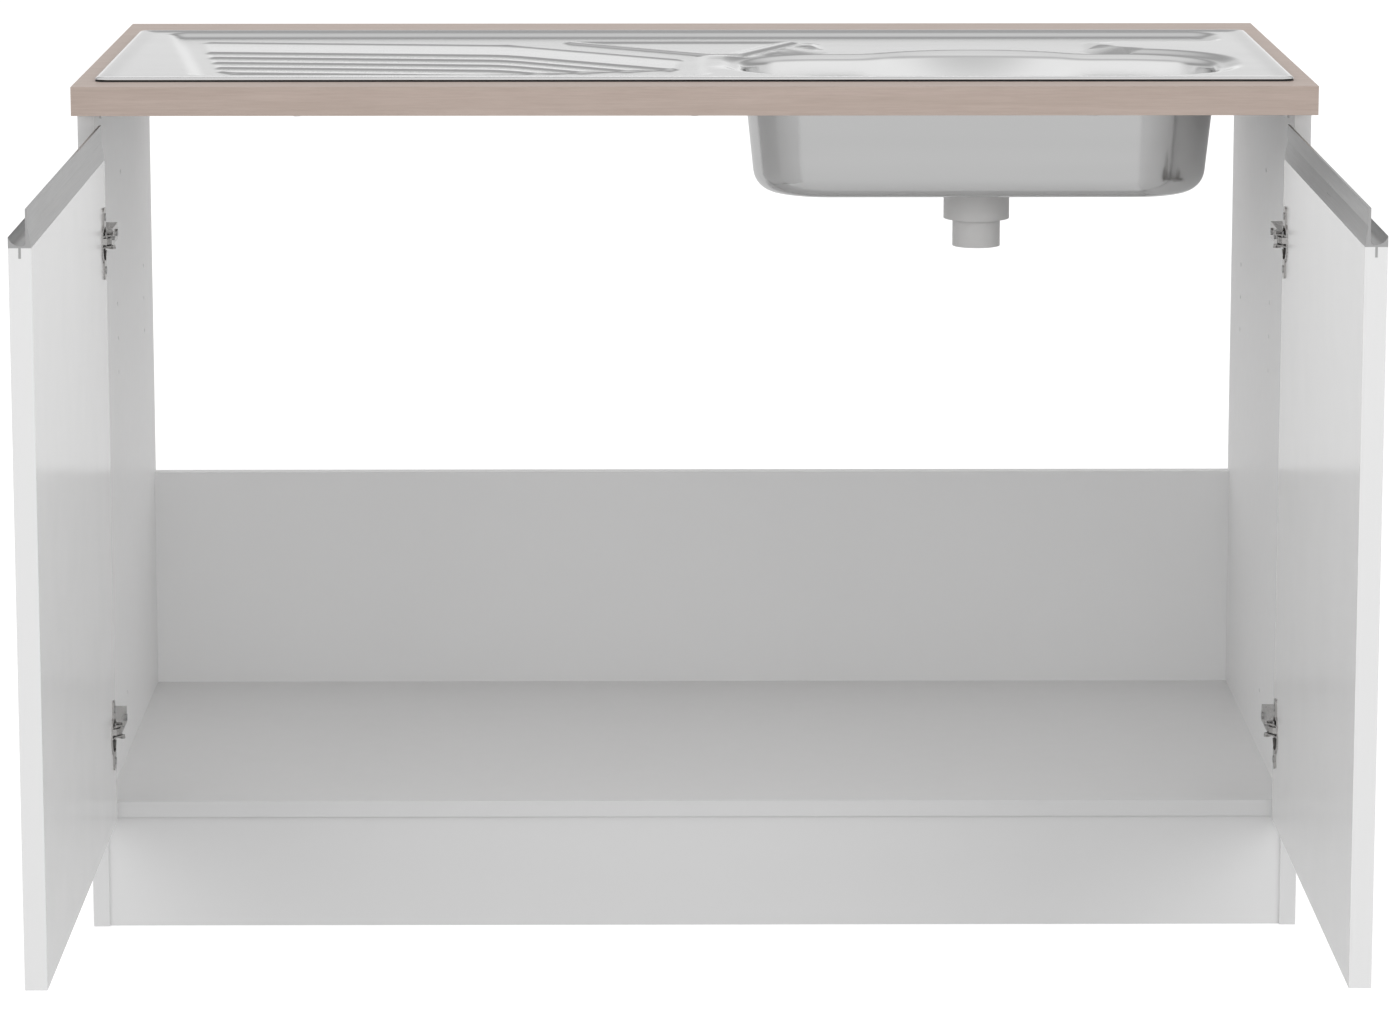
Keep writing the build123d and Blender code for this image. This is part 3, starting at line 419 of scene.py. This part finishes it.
def make_floor():
    """A wide pale floor that reads as white and keeps the object's shadow."""
    mesh = bpy.data.meshes.new("floor")
    r = FLOOR_REACH
    z = -FLOOR_GAP
    mesh.from_pydata([(-r, -r, z), (r, -r, z), (r, r, z), (-r, r, z)], [], [(0, 1, 2, 3)])
    floor = bpy.data.objects.new("floor", mesh)
    bpy.context.scene.collection.objects.link(floor)
    material = bpy.data.materials.new("floor")
    stage = Stage(material)
    matt = stage.add("ShaderNodeBsdfDiffuse", grey(FLOOR_LEVEL))
    seen_matt = stage.add("ShaderNodeBsdfDiffuse", grey(SEEN_FLOOR_LEVEL))
    glow = stage.by_reflection(SEEN_FLOOR_GLOW, SEEN_FLOOR_GLOW * FLOOR_REFLECTED)
    bright = stage.add("ShaderNodeEmission", grey(1.0), glow)
    seen = stage.add("ShaderNodeAddShader", seen_matt.outputs[0], bright.outputs[0])
    choice = stage.add("ShaderNodeMixShader", stage.seen(), matt.outputs[0], seen.outputs[0])
    stage.add("ShaderNodeOutputMaterial", choice.outputs[0])
    mesh.materials.append(material)


def make_world():
    """White where it is seen, a plain soft level where it lights, a studio's shades in reflections."""
    world = bpy.data.worlds.new("world")
    bpy.context.scene.world = world
    stage = Stage(world)
    direction = stage.add("ShaderNodeTexCoord").outputs["Generated"]
    axes = stage.add("ShaderNodeSeparateXYZ", direction).outputs
    around = stage.add("ShaderNodeMapRange", axes["Y"], WORLD_FRONT, WORLD_BACK,
                       WORLD_FRONT_LEVEL, WORLD_BACK_LEVEL)
    above = stage.add("ShaderNodeMapRange", axes["Z"], WORLD_LOW, WORLD_TOP, 1.0, WORLD_TOP_SHADE)
    lit = stage.add("ShaderNodeMath", around.outputs[0], above.outputs[0], operation="MULTIPLY")
    lighting = stage.add("ShaderNodeBackground", grey(1.0), lit.outputs[0])
    behind = stage.add("ShaderNodeMapRange", axes["Y"], -HALVES_BLEND, HALVES_BLEND, 0.0, 1.0)
    shade = stage.add("ShaderNodeMapRange", behind.outputs[0], 0.0, 1.0,
                      stage.shades(axes["Z"], FRONT_SHADES), stage.shades(axes["Z"], BACK_SHADES))
    level = stage.add("ShaderNodeMath", shade.outputs[0], REFLECTED_LEVEL, operation="MULTIPLY")
    shown = stage.add("ShaderNodeBackground", grey(1.0), stage.by_reflection(1.0, level.outputs[0]))
    choice = stage.add("ShaderNodeMixShader", stage.seen(), lighting.outputs[0], shown.outputs[0])
    stage.add("ShaderNodeOutputWorld", choice.outputs[0])


def make_lamps():
    """Two softboxes in front, left and right, that no reflection shows."""
    for name, place, target, width, height, watts in LAMPS:
        data = bpy.data.lights.new(name, "AREA")
        data.shape = "RECTANGLE"
        data.size = width
        data.size_y = height
        data.energy = watts
        lamp = bpy.data.objects.new(name, data)
        lamp.location = place
        lamp.visible_glossy = False
        lamp.rotation_euler = (Vector(target) - Vector(place)).to_track_quat("-Z", "Y").to_euler()
        bpy.context.scene.collection.objects.link(lamp)


# ---------------------------------------------------------------- pressed sink: sizes in millimetres

deck_low, deck_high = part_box("sink_deck")
bowl_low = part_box("sink_bowl")[0]
SINK_X0, SINK_Y0 = deck_low.x / MM, deck_low.y / MM
SINK_X1, SINK_Y1 = deck_high.x / MM, deck_high.y / MM
SINK_X, SINK_Y = (SINK_X0 + SINK_X1) / 2, (SINK_Y0 + SINK_Y1) / 2
SINK_CORNER = 10.0
STEEL = 1.0

# The bead round the outer edge: how far it stands over the deck, where its crest is, how it falls.
BEAD_HEIGHT = 1.2
BEAD_RISE = 1.1
BEAD_CREST = 4.5
BEAD_BACK = 15.0
RIM_FALL = 2.4
RIM_STEEPEST = 0.999
DECK_TOP = deck_high.z / MM - BEAD_HEIGHT

# The bowl: a rounded rectangle, its rear edge swelling backwards in the middle.
BOWL_WIDTH, BOWL_LENGTH, BOWL_CORNER = 468.0, 198.0, 85.0
BOWL_BULGE, BOWL_BULGE_HALF, BOWL_BLEND = 43.0, 105.0, 60.0
BOWL_MARGIN_RIGHT, BOWL_MARGIN_FRONT = 64.0, 50.0
BOWL_X = SINK_X1 - BOWL_MARGIN_RIGHT - BOWL_WIDTH / 2
BOWL_Y = SINK_Y0 + BOWL_MARGIN_FRONT + BOWL_LENGTH / 2
BOWL_LEDGE = 18.0
BOWL_ROLL = 8.0
BOWL_TAPER = math.radians(6)
BOWL_FILLET = 22.0
SWELL_FADE = 0.55
DRAIN_Y = BOWL_Y + BOWL_BULGE / 2
DRAIN_HOLE = 26.0

# The pressed-down tray: drainer, channel along the rear, and the link from there to the bowl.
TRAY_DROP = 4.0
TRAY_FLOOR = DECK_TOP - TRAY_DROP
WALL_HALF = 12.0
TRAY_MARGIN_BACK, TRAY_MARGIN_FRONT, TRAY_MARGIN_LEFT, TRAY_MARGIN_RIGHT = 27.0, 42.0, 40.0, 42.0
TRAY_BACK = SINK_Y1 - TRAY_MARGIN_BACK
TRAY_FRONT = SINK_Y0 + TRAY_MARGIN_FRONT
TRAY_LEFT_BACK = SINK_X0 + TRAY_MARGIN_LEFT
TRAY_RIGHT = SINK_X1 - TRAY_MARGIN_RIGHT
TRAY_SLANT = 56.0
TRAY_CORNER = 12.0
CHANNEL_WIDTH, CHANNEL_CORNER = 76.0, 20.0
LINK_WIDTH, LINK_SHIFT = 285.0, -16.0
DRAINER_GAP = 42.0
DRAINER_RIGHT = BOWL_X - BOWL_WIDTH / 2 - DRAINER_GAP
PANEL_MOAT = 15.0
PANEL_MOAT_BLEND, LINK_BLEND, TRAY_BLEND = 9.0, 45.0, 14.0
BOWL_FLOOR = bowl_low.z / MM + STEEL
BOWL_DEPTH = TRAY_FLOOR - BOWL_FLOOR

# The reliefs raised in the tray: a wide band with ribs in front of it, and a four-sided panel.
RELIEF = 1.7
RELIEF_HALF = 5.0
RELIEF_CORNER = 10.0
CREST_FALL = 18.0
CREST_OVERLAP = 0.8
VALLEY = 0.25
RIB_PITCH, RIB_COUNT = 46.0, 4
BAND_WIDTH = 102.0
BAND_SETBACK = 56.0
BAND_REAR = TRAY_BACK - BAND_SETBACK
BAND_FALL, BAND_STEEP_FALL = 32.0, 138.0
BAND_START_GAP, BAND_END_GAP, BAND_STEEP_RUN = 31.0, 20.0, 178.0
BAND_START_X = TRAY_LEFT_BACK + BAND_START_GAP
BAND_END_X = DRAINER_RIGHT - BAND_END_GAP
BAND_BEND_X = BAND_END_X - BAND_STEEP_RUN
BAND_BEND_BLEND = 14.0
BAND_MARGIN = 24.0
CRESTS = [0.0] + [BAND_WIDTH + RIB_PITCH * i for i in range(RIB_COUNT + 1)]
FIELD_FRONT_GAP, FIELD_CHAMFER, FIELD_FOOT_LEFT, FIELD_FOOT_RIGHT = 12.0, 8.0, 30.0, 20.0
PANEL_GAP, PANEL_SETBACK, PANEL_LENGTH = 38.0, 55.0, 132.0
PANEL_REACH_LEFT, PANEL_REACH_RIGHT, PANEL_FOOT = 162.0, 100.0, 38.0
DISH_MARGIN, DISH_HALF = 13.0, 9.0

# ---------------------------------------------------------------- pressed sink: outlines

ARC_STEP, CORNER_STEP = 3.0, 2.0
FEWEST_POINTS = 8
TINY = 1e-9


def arc(cx, cy, radius, start, end, step=ARC_STEP):
    """Points along a circular arc, angles in degrees."""
    count = max(2, int(abs(math.radians(end - start)) * radius / step))
    angles = np.radians(np.linspace(start, end, count + 1))
    return np.column_stack([cx + radius * np.cos(angles), cy + radius * np.sin(angles)])


def round_corners(corners, radius):
    """A closed outline through these corners, anticlockwise, each rounded by an arc."""
    corners = np.array(corners, float)
    after = np.roll(corners, -1, 0)
    if np.sum(corners[:, 0] * after[:, 1] - corners[:, 1] * after[:, 0]) < 0:
        corners = corners[::-1]
    ahead = np.roll(corners, -1, 0) - corners
    ahead /= np.linalg.norm(ahead, axis=1)[:, None]
    behind = np.roll(ahead, 1, 0)
    pieces = []
    for corner, into, out in zip(corners, behind, ahead):
        turn = math.atan2(into[0] * out[1] - into[1] * out[0], float(into @ out))
        reach = radius * math.tan(abs(turn) / 2)
        side = math.copysign(1, turn)
        centre = corner - into * reach + side * radius * np.array([-into[1], into[0]])
        first = math.degrees(math.atan2(*(corner - into * reach - centre)[::-1]))
        pieces.append(arc(*centre, radius, first, first + math.degrees(turn), CORNER_STEP))
    return np.concatenate(pieces)


def box_outline(cx, cy, width, length, radius):
    """A rounded rectangle."""
    x, y = width / 2, length / 2
    return round_corners([(cx - x, cy - y), (cx + x, cy - y), (cx + x, cy + y), (cx - x, cy + y)], radius)


def bowl_outline():
    """The bowl's opening, its swell joined to the straight rear edge by two hollow arcs."""
    x, y, r = BOWL_WIDTH / 2, BOWL_LENGTH / 2, BOWL_CORNER
    swell = (BOWL_BULGE_HALF ** 2 + BOWL_BULGE ** 2) / (2 * BOWL_BULGE)
    rise = swell + BOWL_BLEND - BOWL_BULGE
    foot = math.sqrt((swell + BOWL_BLEND) ** 2 - rise ** 2)
    lean = math.degrees(math.atan2(rise, foot))
    pieces = [
        arc(x - r, -y + r, r, -90, 0),
        arc(x - r, y - r, r, 0, 90),
        arc(foot, y + BOWL_BLEND, BOWL_BLEND, -90, lean - 180),
        arc(0, y + BOWL_BULGE - swell, swell, lean, 180 - lean),
        arc(-foot, y + BOWL_BLEND, BOWL_BLEND, -lean, -90),
        arc(-x + r, y - r, r, 90, 180),
        arc(-x + r, -y + r, r, 180, 270),
    ]
    return np.concatenate(pieces) + (BOWL_X, BOWL_Y)


def evenly(outline, step):
    """The closed outline again, with points at an even step."""
    closed = np.vstack([outline, outline[:1]])
    run = np.concatenate([[0], np.cumsum(np.linalg.norm(np.diff(closed, axis=0), axis=1))])
    count = max(FEWEST_POINTS, int(round(run[-1] / step)))
    at = np.linspace(0, run[-1], count, endpoint=False)
    return np.column_stack([np.interp(at, run, closed[:, 0]), np.interp(at, run, closed[:, 1])])


def outward(outline):
    """Unit normals of an anticlockwise outline, pointing out of it."""
    along = np.roll(outline, -1, 0) - np.roll(outline, 1, 0)
    normal = np.column_stack([along[:, 1], -along[:, 0]])
    return normal / np.linalg.norm(normal, axis=1)[:, None]


def distance(points, outline):
    """Signed distance from points to a closed outline, negative inside."""
    best = np.full(len(points), np.inf)
    inside = np.zeros(len(points), bool)
    for a, b in zip(outline, np.roll(outline, -1, 0)):
        edge = b - a
        length = float(edge @ edge)
        if length < TINY:
            continue
        rel = points - a
        t = np.clip(rel @ edge / length, 0, 1)
        gap = rel - t[:, None] * edge
        best = np.minimum(best, np.einsum("ij,ij->i", gap, gap))
        crosses = (a[1] > points[:, 1]) != (b[1] > points[:, 1])
        if crosses.any():
            x = a[0] + (points[:, 1] - a[1]) * edge[0] / edge[1]
            inside ^= crosses & (points[:, 0] < x)
    return np.where(inside, -1, 1) * np.sqrt(best)


def soft_min(a, b, width):
    """The smaller of two, with the crease between them rounded."""
    h = np.clip(0.5 + 0.5 * (b - a) / width, 0, 1)
    return b * (1 - h) + a * h - width * h * (1 - h)


def step_down(d, half):
    """0 well inside, 1 well outside, turning smoothly within half a width of the outline."""
    t = np.clip((d + half) / (2 * half), 0, 1)
    return t * t * t * (t * (6 * t - 15) + 10)


def drainer_left(y):
    """X of the drainer's slanting left end at Y."""
    return TRAY_LEFT_BACK + TRAY_SLANT * (TRAY_BACK - y) / (TRAY_BACK - TRAY_FRONT)


def drainer_panel():
    """The raised panel's outline, between the drainer and the bowl."""
    rear = TRAY_BACK - PANEL_SETBACK
    front = rear - PANEL_LENGTH
    foot = BOWL_X - BOWL_WIDTH / 2 - PANEL_GAP
    return round_corners([(foot - PANEL_REACH_LEFT, rear), (foot + PANEL_REACH_RIGHT, rear),
                          (foot + PANEL_FOOT, front), (foot, front)], RELIEF_CORNER)


def band_line(x):
    """The band's rear edge as Y over X, its bend rounded."""
    left = BAND_REAR - BAND_FALL * (x - BAND_START_X) / (BAND_BEND_X - BAND_START_X)
    right = BAND_REAR - BAND_FALL - BAND_STEEP_FALL * (x - BAND_BEND_X) / (BAND_END_X - BAND_BEND_X)
    return soft_min(left, right, BAND_BEND_BLEND)


def drainer_field():
    """The outline that holds the band and, in front of it, the ribs."""
    front = TRAY_FRONT + FIELD_FRONT_GAP
    last = BAND_REAR - BAND_WIDTH - RIB_PITCH * RIB_COUNT
    end = BAND_REAR - BAND_FALL - BAND_STEEP_FALL
    return round_corners([
        (drainer_left(BAND_REAR) + BAND_MARGIN, BAND_REAR),
        (BAND_BEND_X, BAND_REAR - BAND_FALL),
        (BAND_END_X, end),
        (BAND_END_X - BAND_MARGIN / 4, end - BAND_WIDTH + FIELD_CHAMFER),
        (BAND_BEND_X - FIELD_FOOT_RIGHT, front),
        (drainer_left(front) + BAND_MARGIN + FIELD_FOOT_LEFT, front),
        (drainer_left(last) + BAND_MARGIN, last + FIELD_CHAMFER),
        (drainer_left(BAND_REAR - BAND_WIDTH) + BAND_MARGIN, BAND_REAR - BAND_WIDTH),
    ], RELIEF_CORNER)


# ---------------------------------------------------------------- pressed sink: height of the sheet

SLOPE_STEP = 0.05


def wave(u):
    """The pressing's height, 0 to 1, at a distance in front of the band's rear crest."""
    level = np.ones_like(u)
    for crest, ahead in zip(CRESTS, CRESTS[1:] + [None]):
        fall = 1 - (1 - np.clip((u - crest) / CREST_FALL, 0, 1)) ** 2
        if ahead is None:
            level = np.where(u > crest, 1 - fall, level)
            continue
        start = crest + CREST_FALL * CREST_OVERLAP
        rise = np.clip((u - start) / (ahead - start), 0, 1)
        dish = 1 - (1 - VALLEY) * fall * (1 - rise)
        level = np.where((u > crest) & (u <= ahead), dish, level)
    return level


class Pressing:
    """The sink's sheet as a height over X and Y, in millimetres."""

    def __init__(self):
        self.bowl = bowl_outline()
        self.panel = drainer_panel()
        self.field = drainer_field()
        drainer = [(drainer_left(TRAY_BACK), TRAY_BACK), (drainer_left(TRAY_FRONT), TRAY_FRONT),
                   (DRAINER_RIGHT, TRAY_FRONT), (DRAINER_RIGHT, TRAY_BACK)]
        start = DRAINER_RIGHT - CHANNEL_WIDTH
        channel = box_outline((start + TRAY_RIGHT) / 2, TRAY_BACK - CHANNEL_WIDTH / 2,
                              TRAY_RIGHT - start, CHANNEL_WIDTH, CHANNEL_CORNER)
        link = box_outline(BOWL_X + LINK_SHIFT, (TRAY_BACK - CHANNEL_WIDTH + BOWL_Y) / 2,
                           LINK_WIDTH, TRAY_BACK - BOWL_Y, TRAY_CORNER)
        # Each outline, and how far the pressed-down area reaches beyond it.
        self.tray_parts = [
            (round_corners(drainer, TRAY_CORNER), 0.0),
            (channel, 0.0),
            (self.panel, PANEL_MOAT),
            (self.bowl, BOWL_LEDGE),
            (link, 0.0),
        ]
        self.reliefs = [self.field, self.panel]

    def tray(self, points):
        """Signed distance to the pressed-down area, its parts flowing into each other."""
        drainer, channel, panel, bowl, link = [distance(points, outline) - grow
                                               for outline, grow in self.tray_parts]
        left = soft_min(np.minimum(drainer, channel), panel, PANEL_MOAT_BLEND)
        return soft_min(left, soft_min(bowl, link, LINK_BLEND), TRAY_BLEND)

    def relief(self, points):
        """Signed distance to the nearer of the two reliefs."""
        return np.min([distance(points, outline) for outline in self.reliefs], axis=0)

    def raised(self, points):
        """The drainer's waves and the panel with its dished middle, 0 to 1."""
        field = 1 - step_down(distance(points, self.field), RELIEF_HALF)
        waves = field * wave(band_line(points[:, 0]) - points[:, 1])
        inside = distance(points, self.panel)
        dish = step_down(inside + DISH_MARGIN, DISH_HALF)
        panel = (1 - step_down(inside, RELIEF_HALF)) * (1 - (1 - VALLEY) * (1 - dish))
        return np.maximum(waves, panel)

    def inset(self, points):
        """Distance inwards from the sink's outer edge."""
        x = np.minimum(points[:, 0] - SINK_X0, SINK_X1 - points[:, 0])
        y = np.minimum(points[:, 1] - SINK_Y0, SINK_Y1 - points[:, 1])
        near = np.hypot(np.maximum(SINK_CORNER - x, 0), np.maximum(SINK_CORNER - y, 0))
        return np.where((x < SINK_CORNER) & (y < SINK_CORNER), SINK_CORNER - near, np.minimum(x, y))

    def height(self, points):
        inset = self.inset(points)
        behind = np.clip((inset - BEAD_CREST) / BEAD_BACK, 0, 1)
        ahead = np.clip(1 - inset / BEAD_CREST, 0, RIM_STEEPEST)
        bead = BEAD_RISE * (1 - behind * behind * (3 - 2 * behind))
        rim = (1 - np.sqrt(1 - ahead ** 2)) * RIM_FALL
        tray = 1 - step_down(self.tray(points), WALL_HALF)
        return DECK_TOP + bead - rim - TRAY_DROP * tray + RELIEF * self.raised(points) * tray

    def slope(self, points, shift):
        """Rise over run along a short step."""
        run = 2 * math.hypot(*shift)
        return (self.height(points + shift) - self.height(points - shift)) / run

    def normals(self, points):
        slope_x = self.slope(points, (SLOPE_STEP, 0))
        slope_y = self.slope(points, (0, SLOPE_STEP))
        normal = np.column_stack([-slope_x, -slope_y, np.ones(len(points))])
        return normal / np.linalg.norm(normal, axis=1)[:, None]


# ---------------------------------------------------------------- pressed sink: mesh

RING_STEP = 3.0
GRID_STEP = 5.0
RING_TOLERANCE = 0.25
POINT_CELL = 0.85
CELL_STRIDE = 1000003
WALL_RINGS = (-13.0, -10.6, -8.3, -6.0, -3.6, -1.2, 1.2, 3.6, 6.0, 8.3, 10.6, 13.0)
RELIEF_RINGS = (-6.4, -5.0, -3.75, -2.5, -1.25, 0.0, 1.25, 2.5, 3.75, 5.0, 6.4)
CREST_RINGS = (-1.5, 0.0, 1.0, 2.0, 3.1, 4.4, 6.0, 8.0, 10.5, 13.5, 17.0, 20.0)
RIM_INSETS = (0.0, 0.15, 0.45, 0.9, 1.6, 2.2, 2.9, 3.6, 4.3, 5.0, 5.7, 6.4, 7.1, 7.8, 8.6)
CLEAR_OF_WALL, CLEAR_OF_RELIEF, CLEAR_OF_LIP = 14.2, 7.4, 0.9
RINGS_FROM_RIM, GRID_FROM_RIM = 9.6, 10.5
ROLL_STEPS, FILLET_STEPS, WALL_STEPS, FLOOR_STEPS = 7, 9, 6, 12
MERGE_DISTANCE = 1e-5
TOWARDS_MIDDLE = 1e-4


def rings_along(outlines, offsets, field):
    """Rings beside each outline, kept where the field agrees with their offset."""
    rings = []
    for outline, grow in outlines:
        base = evenly(outline, RING_STEP)
        normal = outward(base)
        for offset in offsets:
            points = base + normal * (grow + offset)
            rings.append(points[np.abs(field(points) - offset) < RING_TOLERANCE])
    return rings


def crest_lines(pressing):
    """Points along every crest of the drainer, closer together where it falls."""
    xs = np.arange(SINK_X0, SINK_X1, RING_STEP)
    lines = []
    for crest in CRESTS:
        for offset in CREST_RINGS:
            points = np.column_stack([xs, band_line(xs) - crest - offset])
            lines.append(points[distance(points, pressing.field) < -RELIEF_HALF])
    return lines


def open_grid(pressing):
    """A plain grid over the sheet, away from its edges and from everything pressed."""
    xs = np.arange(SINK_X0 + GRID_STEP, SINK_X1 - GRID_STEP / 2, GRID_STEP)
    ys = np.arange(SINK_Y0 + GRID_STEP, SINK_Y1 - GRID_STEP / 2, GRID_STEP)
    grid = np.array(np.meshgrid(xs, ys)).reshape(2, -1).T
    clear = np.abs(pressing.tray(grid)) > CLEAR_OF_WALL
    clear &= np.abs(pressing.relief(grid)) > CLEAR_OF_RELIEF
    return grid[clear & (pressing.inset(grid) > GRID_FROM_RIM)]


def thin_out(points, cell):
    """One point for each small square, so that crossing rings leave no near-doubles."""
    keys = np.floor(points / cell).astype(np.int64)
    order = np.unique(keys[:, 0] * CELL_STRIDE + keys[:, 1], return_index=True)[1]
    return points[np.sort(order)]


def sheet_points(pressing):
    """Points over the flat part of the sheet: rings along every pressed edge, and a grid between."""
    reliefs = [(outline, 0.0) for outline in pressing.reliefs]
    points = np.vstack(rings_along(pressing.tray_parts, WALL_RINGS, pressing.tray)
                       + rings_along(reliefs, RELIEF_RINGS, pressing.relief)
                       + crest_lines(pressing) + [open_grid(pressing)])
    points = points[pressing.inset(points) > RINGS_FROM_RIM]
    points = points[distance(points, pressing.bowl) > BOWL_ROLL + CLEAR_OF_LIP]
    return thin_out(points, POINT_CELL)


def bowl_profile():
    """(inward, down, lean of the surface) from the ledge over the lip, wall and fillet to the floor."""
    steep = math.pi / 2 - BOWL_TAPER
    wall = (BOWL_DEPTH - (BOWL_ROLL + BOWL_FILLET) * (1 - math.cos(steep))) / math.sin(steep)
    profile = []
    for a in np.linspace(0, steep, ROLL_STEPS + 1):
        profile.append((BOWL_ROLL * math.sin(a), BOWL_ROLL * (1 - math.cos(a)), a))
    foot_in, foot_down, _ = profile[-1]
    for k in range(1, WALL_STEPS + 1):
        run = wall * k / WALL_STEPS
        profile.append((foot_in + run * math.cos(steep), foot_down + run * math.sin(steep), steep))
    foot_in, foot_down, _ = profile[-1]
    for a in np.linspace(steep, 0, FILLET_STEPS + 1)[1:]:
        reach = BOWL_FILLET * (math.sin(steep) - math.sin(a))
        fall = BOWL_FILLET * (math.cos(a) - math.cos(steep))
        profile.append((foot_in + reach, foot_down + fall, a))
    return profile


def with_z(plan, z):
    """Plan points or directions, all with the same Z."""
    return np.column_stack([plan, np.full(len(plan), z)])


class Sheet:
    """The sheet's upper face: points, the normals there, and faces by the points' numbers."""

    def __init__(self):
        self.points = []
        self.normals = []
        self.faces = []
        self.count = 0

    def add(self, points, normals):
        """The new points' numbers."""
        self.points.append(points)
        self.normals.append(normals)
        self.count += len(points)
        return list(range(self.count - len(points), self.count))

    def join(self, first, second):
        """Quads between two rings of as many points."""
        self.faces += zip(first, np.roll(first, -1), np.roll(second, -1), second)

    def below(self, ring):
        """The numbers that a ring's points get on the underside."""
        return [i + self.count for i in ring]

    def mesh(self, name, outer_edge, inner_edge):
        """The sheet with its underside, and its two open edges closed."""
        top = np.vstack(self.points)
        under = top - np.vstack(self.normals) * STEEL
        self.faces += [self.below(reversed(face)) for face in self.faces]
        self.join(self.below(outer_edge), outer_edge)
        self.join(inner_edge, self.below(inner_edge))
        mesh = bpy.data.meshes.new(name)
        vertices = np.vstack([top, under]) * MM
        mesh.from_pydata(vertices.tolist(), [], [tuple(int(i) for i in face) for face in self.faces])
        mesh.polygons.foreach_set("use_smooth", [True] * len(mesh.polygons))
        mesh.update()
        return mesh


def add_deck(sheet, pressing, rim, lip):
    """Deck, tray and drainer between the rim and the bowl's lip; the numbers of these two rings."""
    plan = np.vstack([rim, lip, sheet_points(pressing)])
    rings = [list(range(len(rim))), list(range(len(rim), len(rim) + len(lip)))]
    edges = [edge for ring in rings for edge in zip(ring, ring[1:] + ring[:1])]
    solved = delaunay_2d_cdt([Vector(p) for p in plan], edges, [], 0, MERGE_DISTANCE)
    points = np.array([tuple(v) for v in solved[0]])
    became = {source: i for i, sources in enumerate(solved[3]) for source in sources}
    triangles = np.array(solved[2])
    middles = points[triangles].mean(1)
    triangles = triangles[(distance(middles, lip) > 0) & (distance(middles, rim) < 0)]
    a, b, c = points[triangles[:, 0]], points[triangles[:, 1]], points[triangles[:, 2]]
    turned = np.cross(b - a, c - a) < 0
    triangles[turned] = triangles[turned][:, ::-1]
    sheet.add(np.column_stack([points, pressing.height(points)]), pressing.normals(points))
    sheet.faces += [tuple(triangle) for triangle in triangles]
    return [[became[i] for i in ring] for ring in rings]


def add_rim(sheet, pressing, rims, inner):
    """The rounded outer edge, ring by ring outwards; the numbers of the last ring."""
    for ring in rims:
        just_inside = ring + (np.array([SINK_X, SINK_Y]) - ring) * TOWARDS_MIDDLE
        outer = sheet.add(np.column_stack([ring, pressing.height(just_inside)]),
                          pressing.normals(just_inside))
        sheet.join(outer, inner)
        inner = outer
    return inner


def add_bowl(sheet, lip, out, outer):
    """The bowl's lip, wall, fillet and floor; the numbers of the ring round the waste's hole."""
    swell = np.maximum(lip[:, 1] - (BOWL_Y + BOWL_LENGTH / 2), 0)
    for inward, down, lean in bowl_profile()[1:]:
        foot = lip + out * BOWL_ROLL - out * inward
        foot[:, 1] -= swell * SWELL_FADE * down / BOWL_DEPTH
        inner = sheet.add(with_z(foot, TRAY_FLOOR - down), with_z(-out * math.sin(lean), math.cos(lean)))
        sheet.join(outer, inner)
        outer = inner
    drain = np.array([BOWL_X, DRAIN_Y])
    spokes = foot - drain
    hole = drain + spokes / np.linalg.norm(spokes, axis=1)[:, None] * DRAIN_HOLE
    for t in np.linspace(0, 1, FLOOR_STEPS + 1)[1:]:
        inner = sheet.add(with_z(foot + (hole - foot) * t, BOWL_FLOOR), with_z(np.zeros_like(foot), 1.0))
        sheet.join(outer, inner)
        outer = inner
    return outer


def make_sink():
    """One pressed sheet: deck, tray, drainer and bowl, with the steel's thickness under it."""
    pressing = Pressing()
    edge = evenly(box_outline(SINK_X, SINK_Y, SINK_X1 - SINK_X0, SINK_Y1 - SINK_Y0, SINK_CORNER), RING_STEP)
    rims = [edge - outward(edge) * inset for inset in reversed(RIM_INSETS)]
    lip = evenly(pressing.bowl, RING_STEP)
    lip_out = outward(lip)
    sheet = Sheet()
    rim_ring, lip_ring = add_deck(sheet, pressing, rims[0], lip + lip_out * BOWL_ROLL)
    outer_edge = add_rim(sheet, pressing, rims[1:], rim_ring)
    inner_edge = add_bowl(sheet, lip, lip_out, lip_ring)
    sink = bpy.data.objects.new("steel_sink", sheet.mesh("steel_sink", outer_edge, inner_edge))
    bpy.context.scene.collection.objects.link(sink)
    return sink


# ---------------------------------------------------------------- putting it together

bpy.context.scene.view_settings.view_transform = "Standard"
make_camera()
make_floor()
make_world()
make_lamps()
finishes = make_finishes()
dress_nodes(finishes)

sink = make_sink()
sink.data.materials.append(finishes["stainless_sink"])
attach(sink, "cabinet")
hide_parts("sink_deck", "sink_bowl")
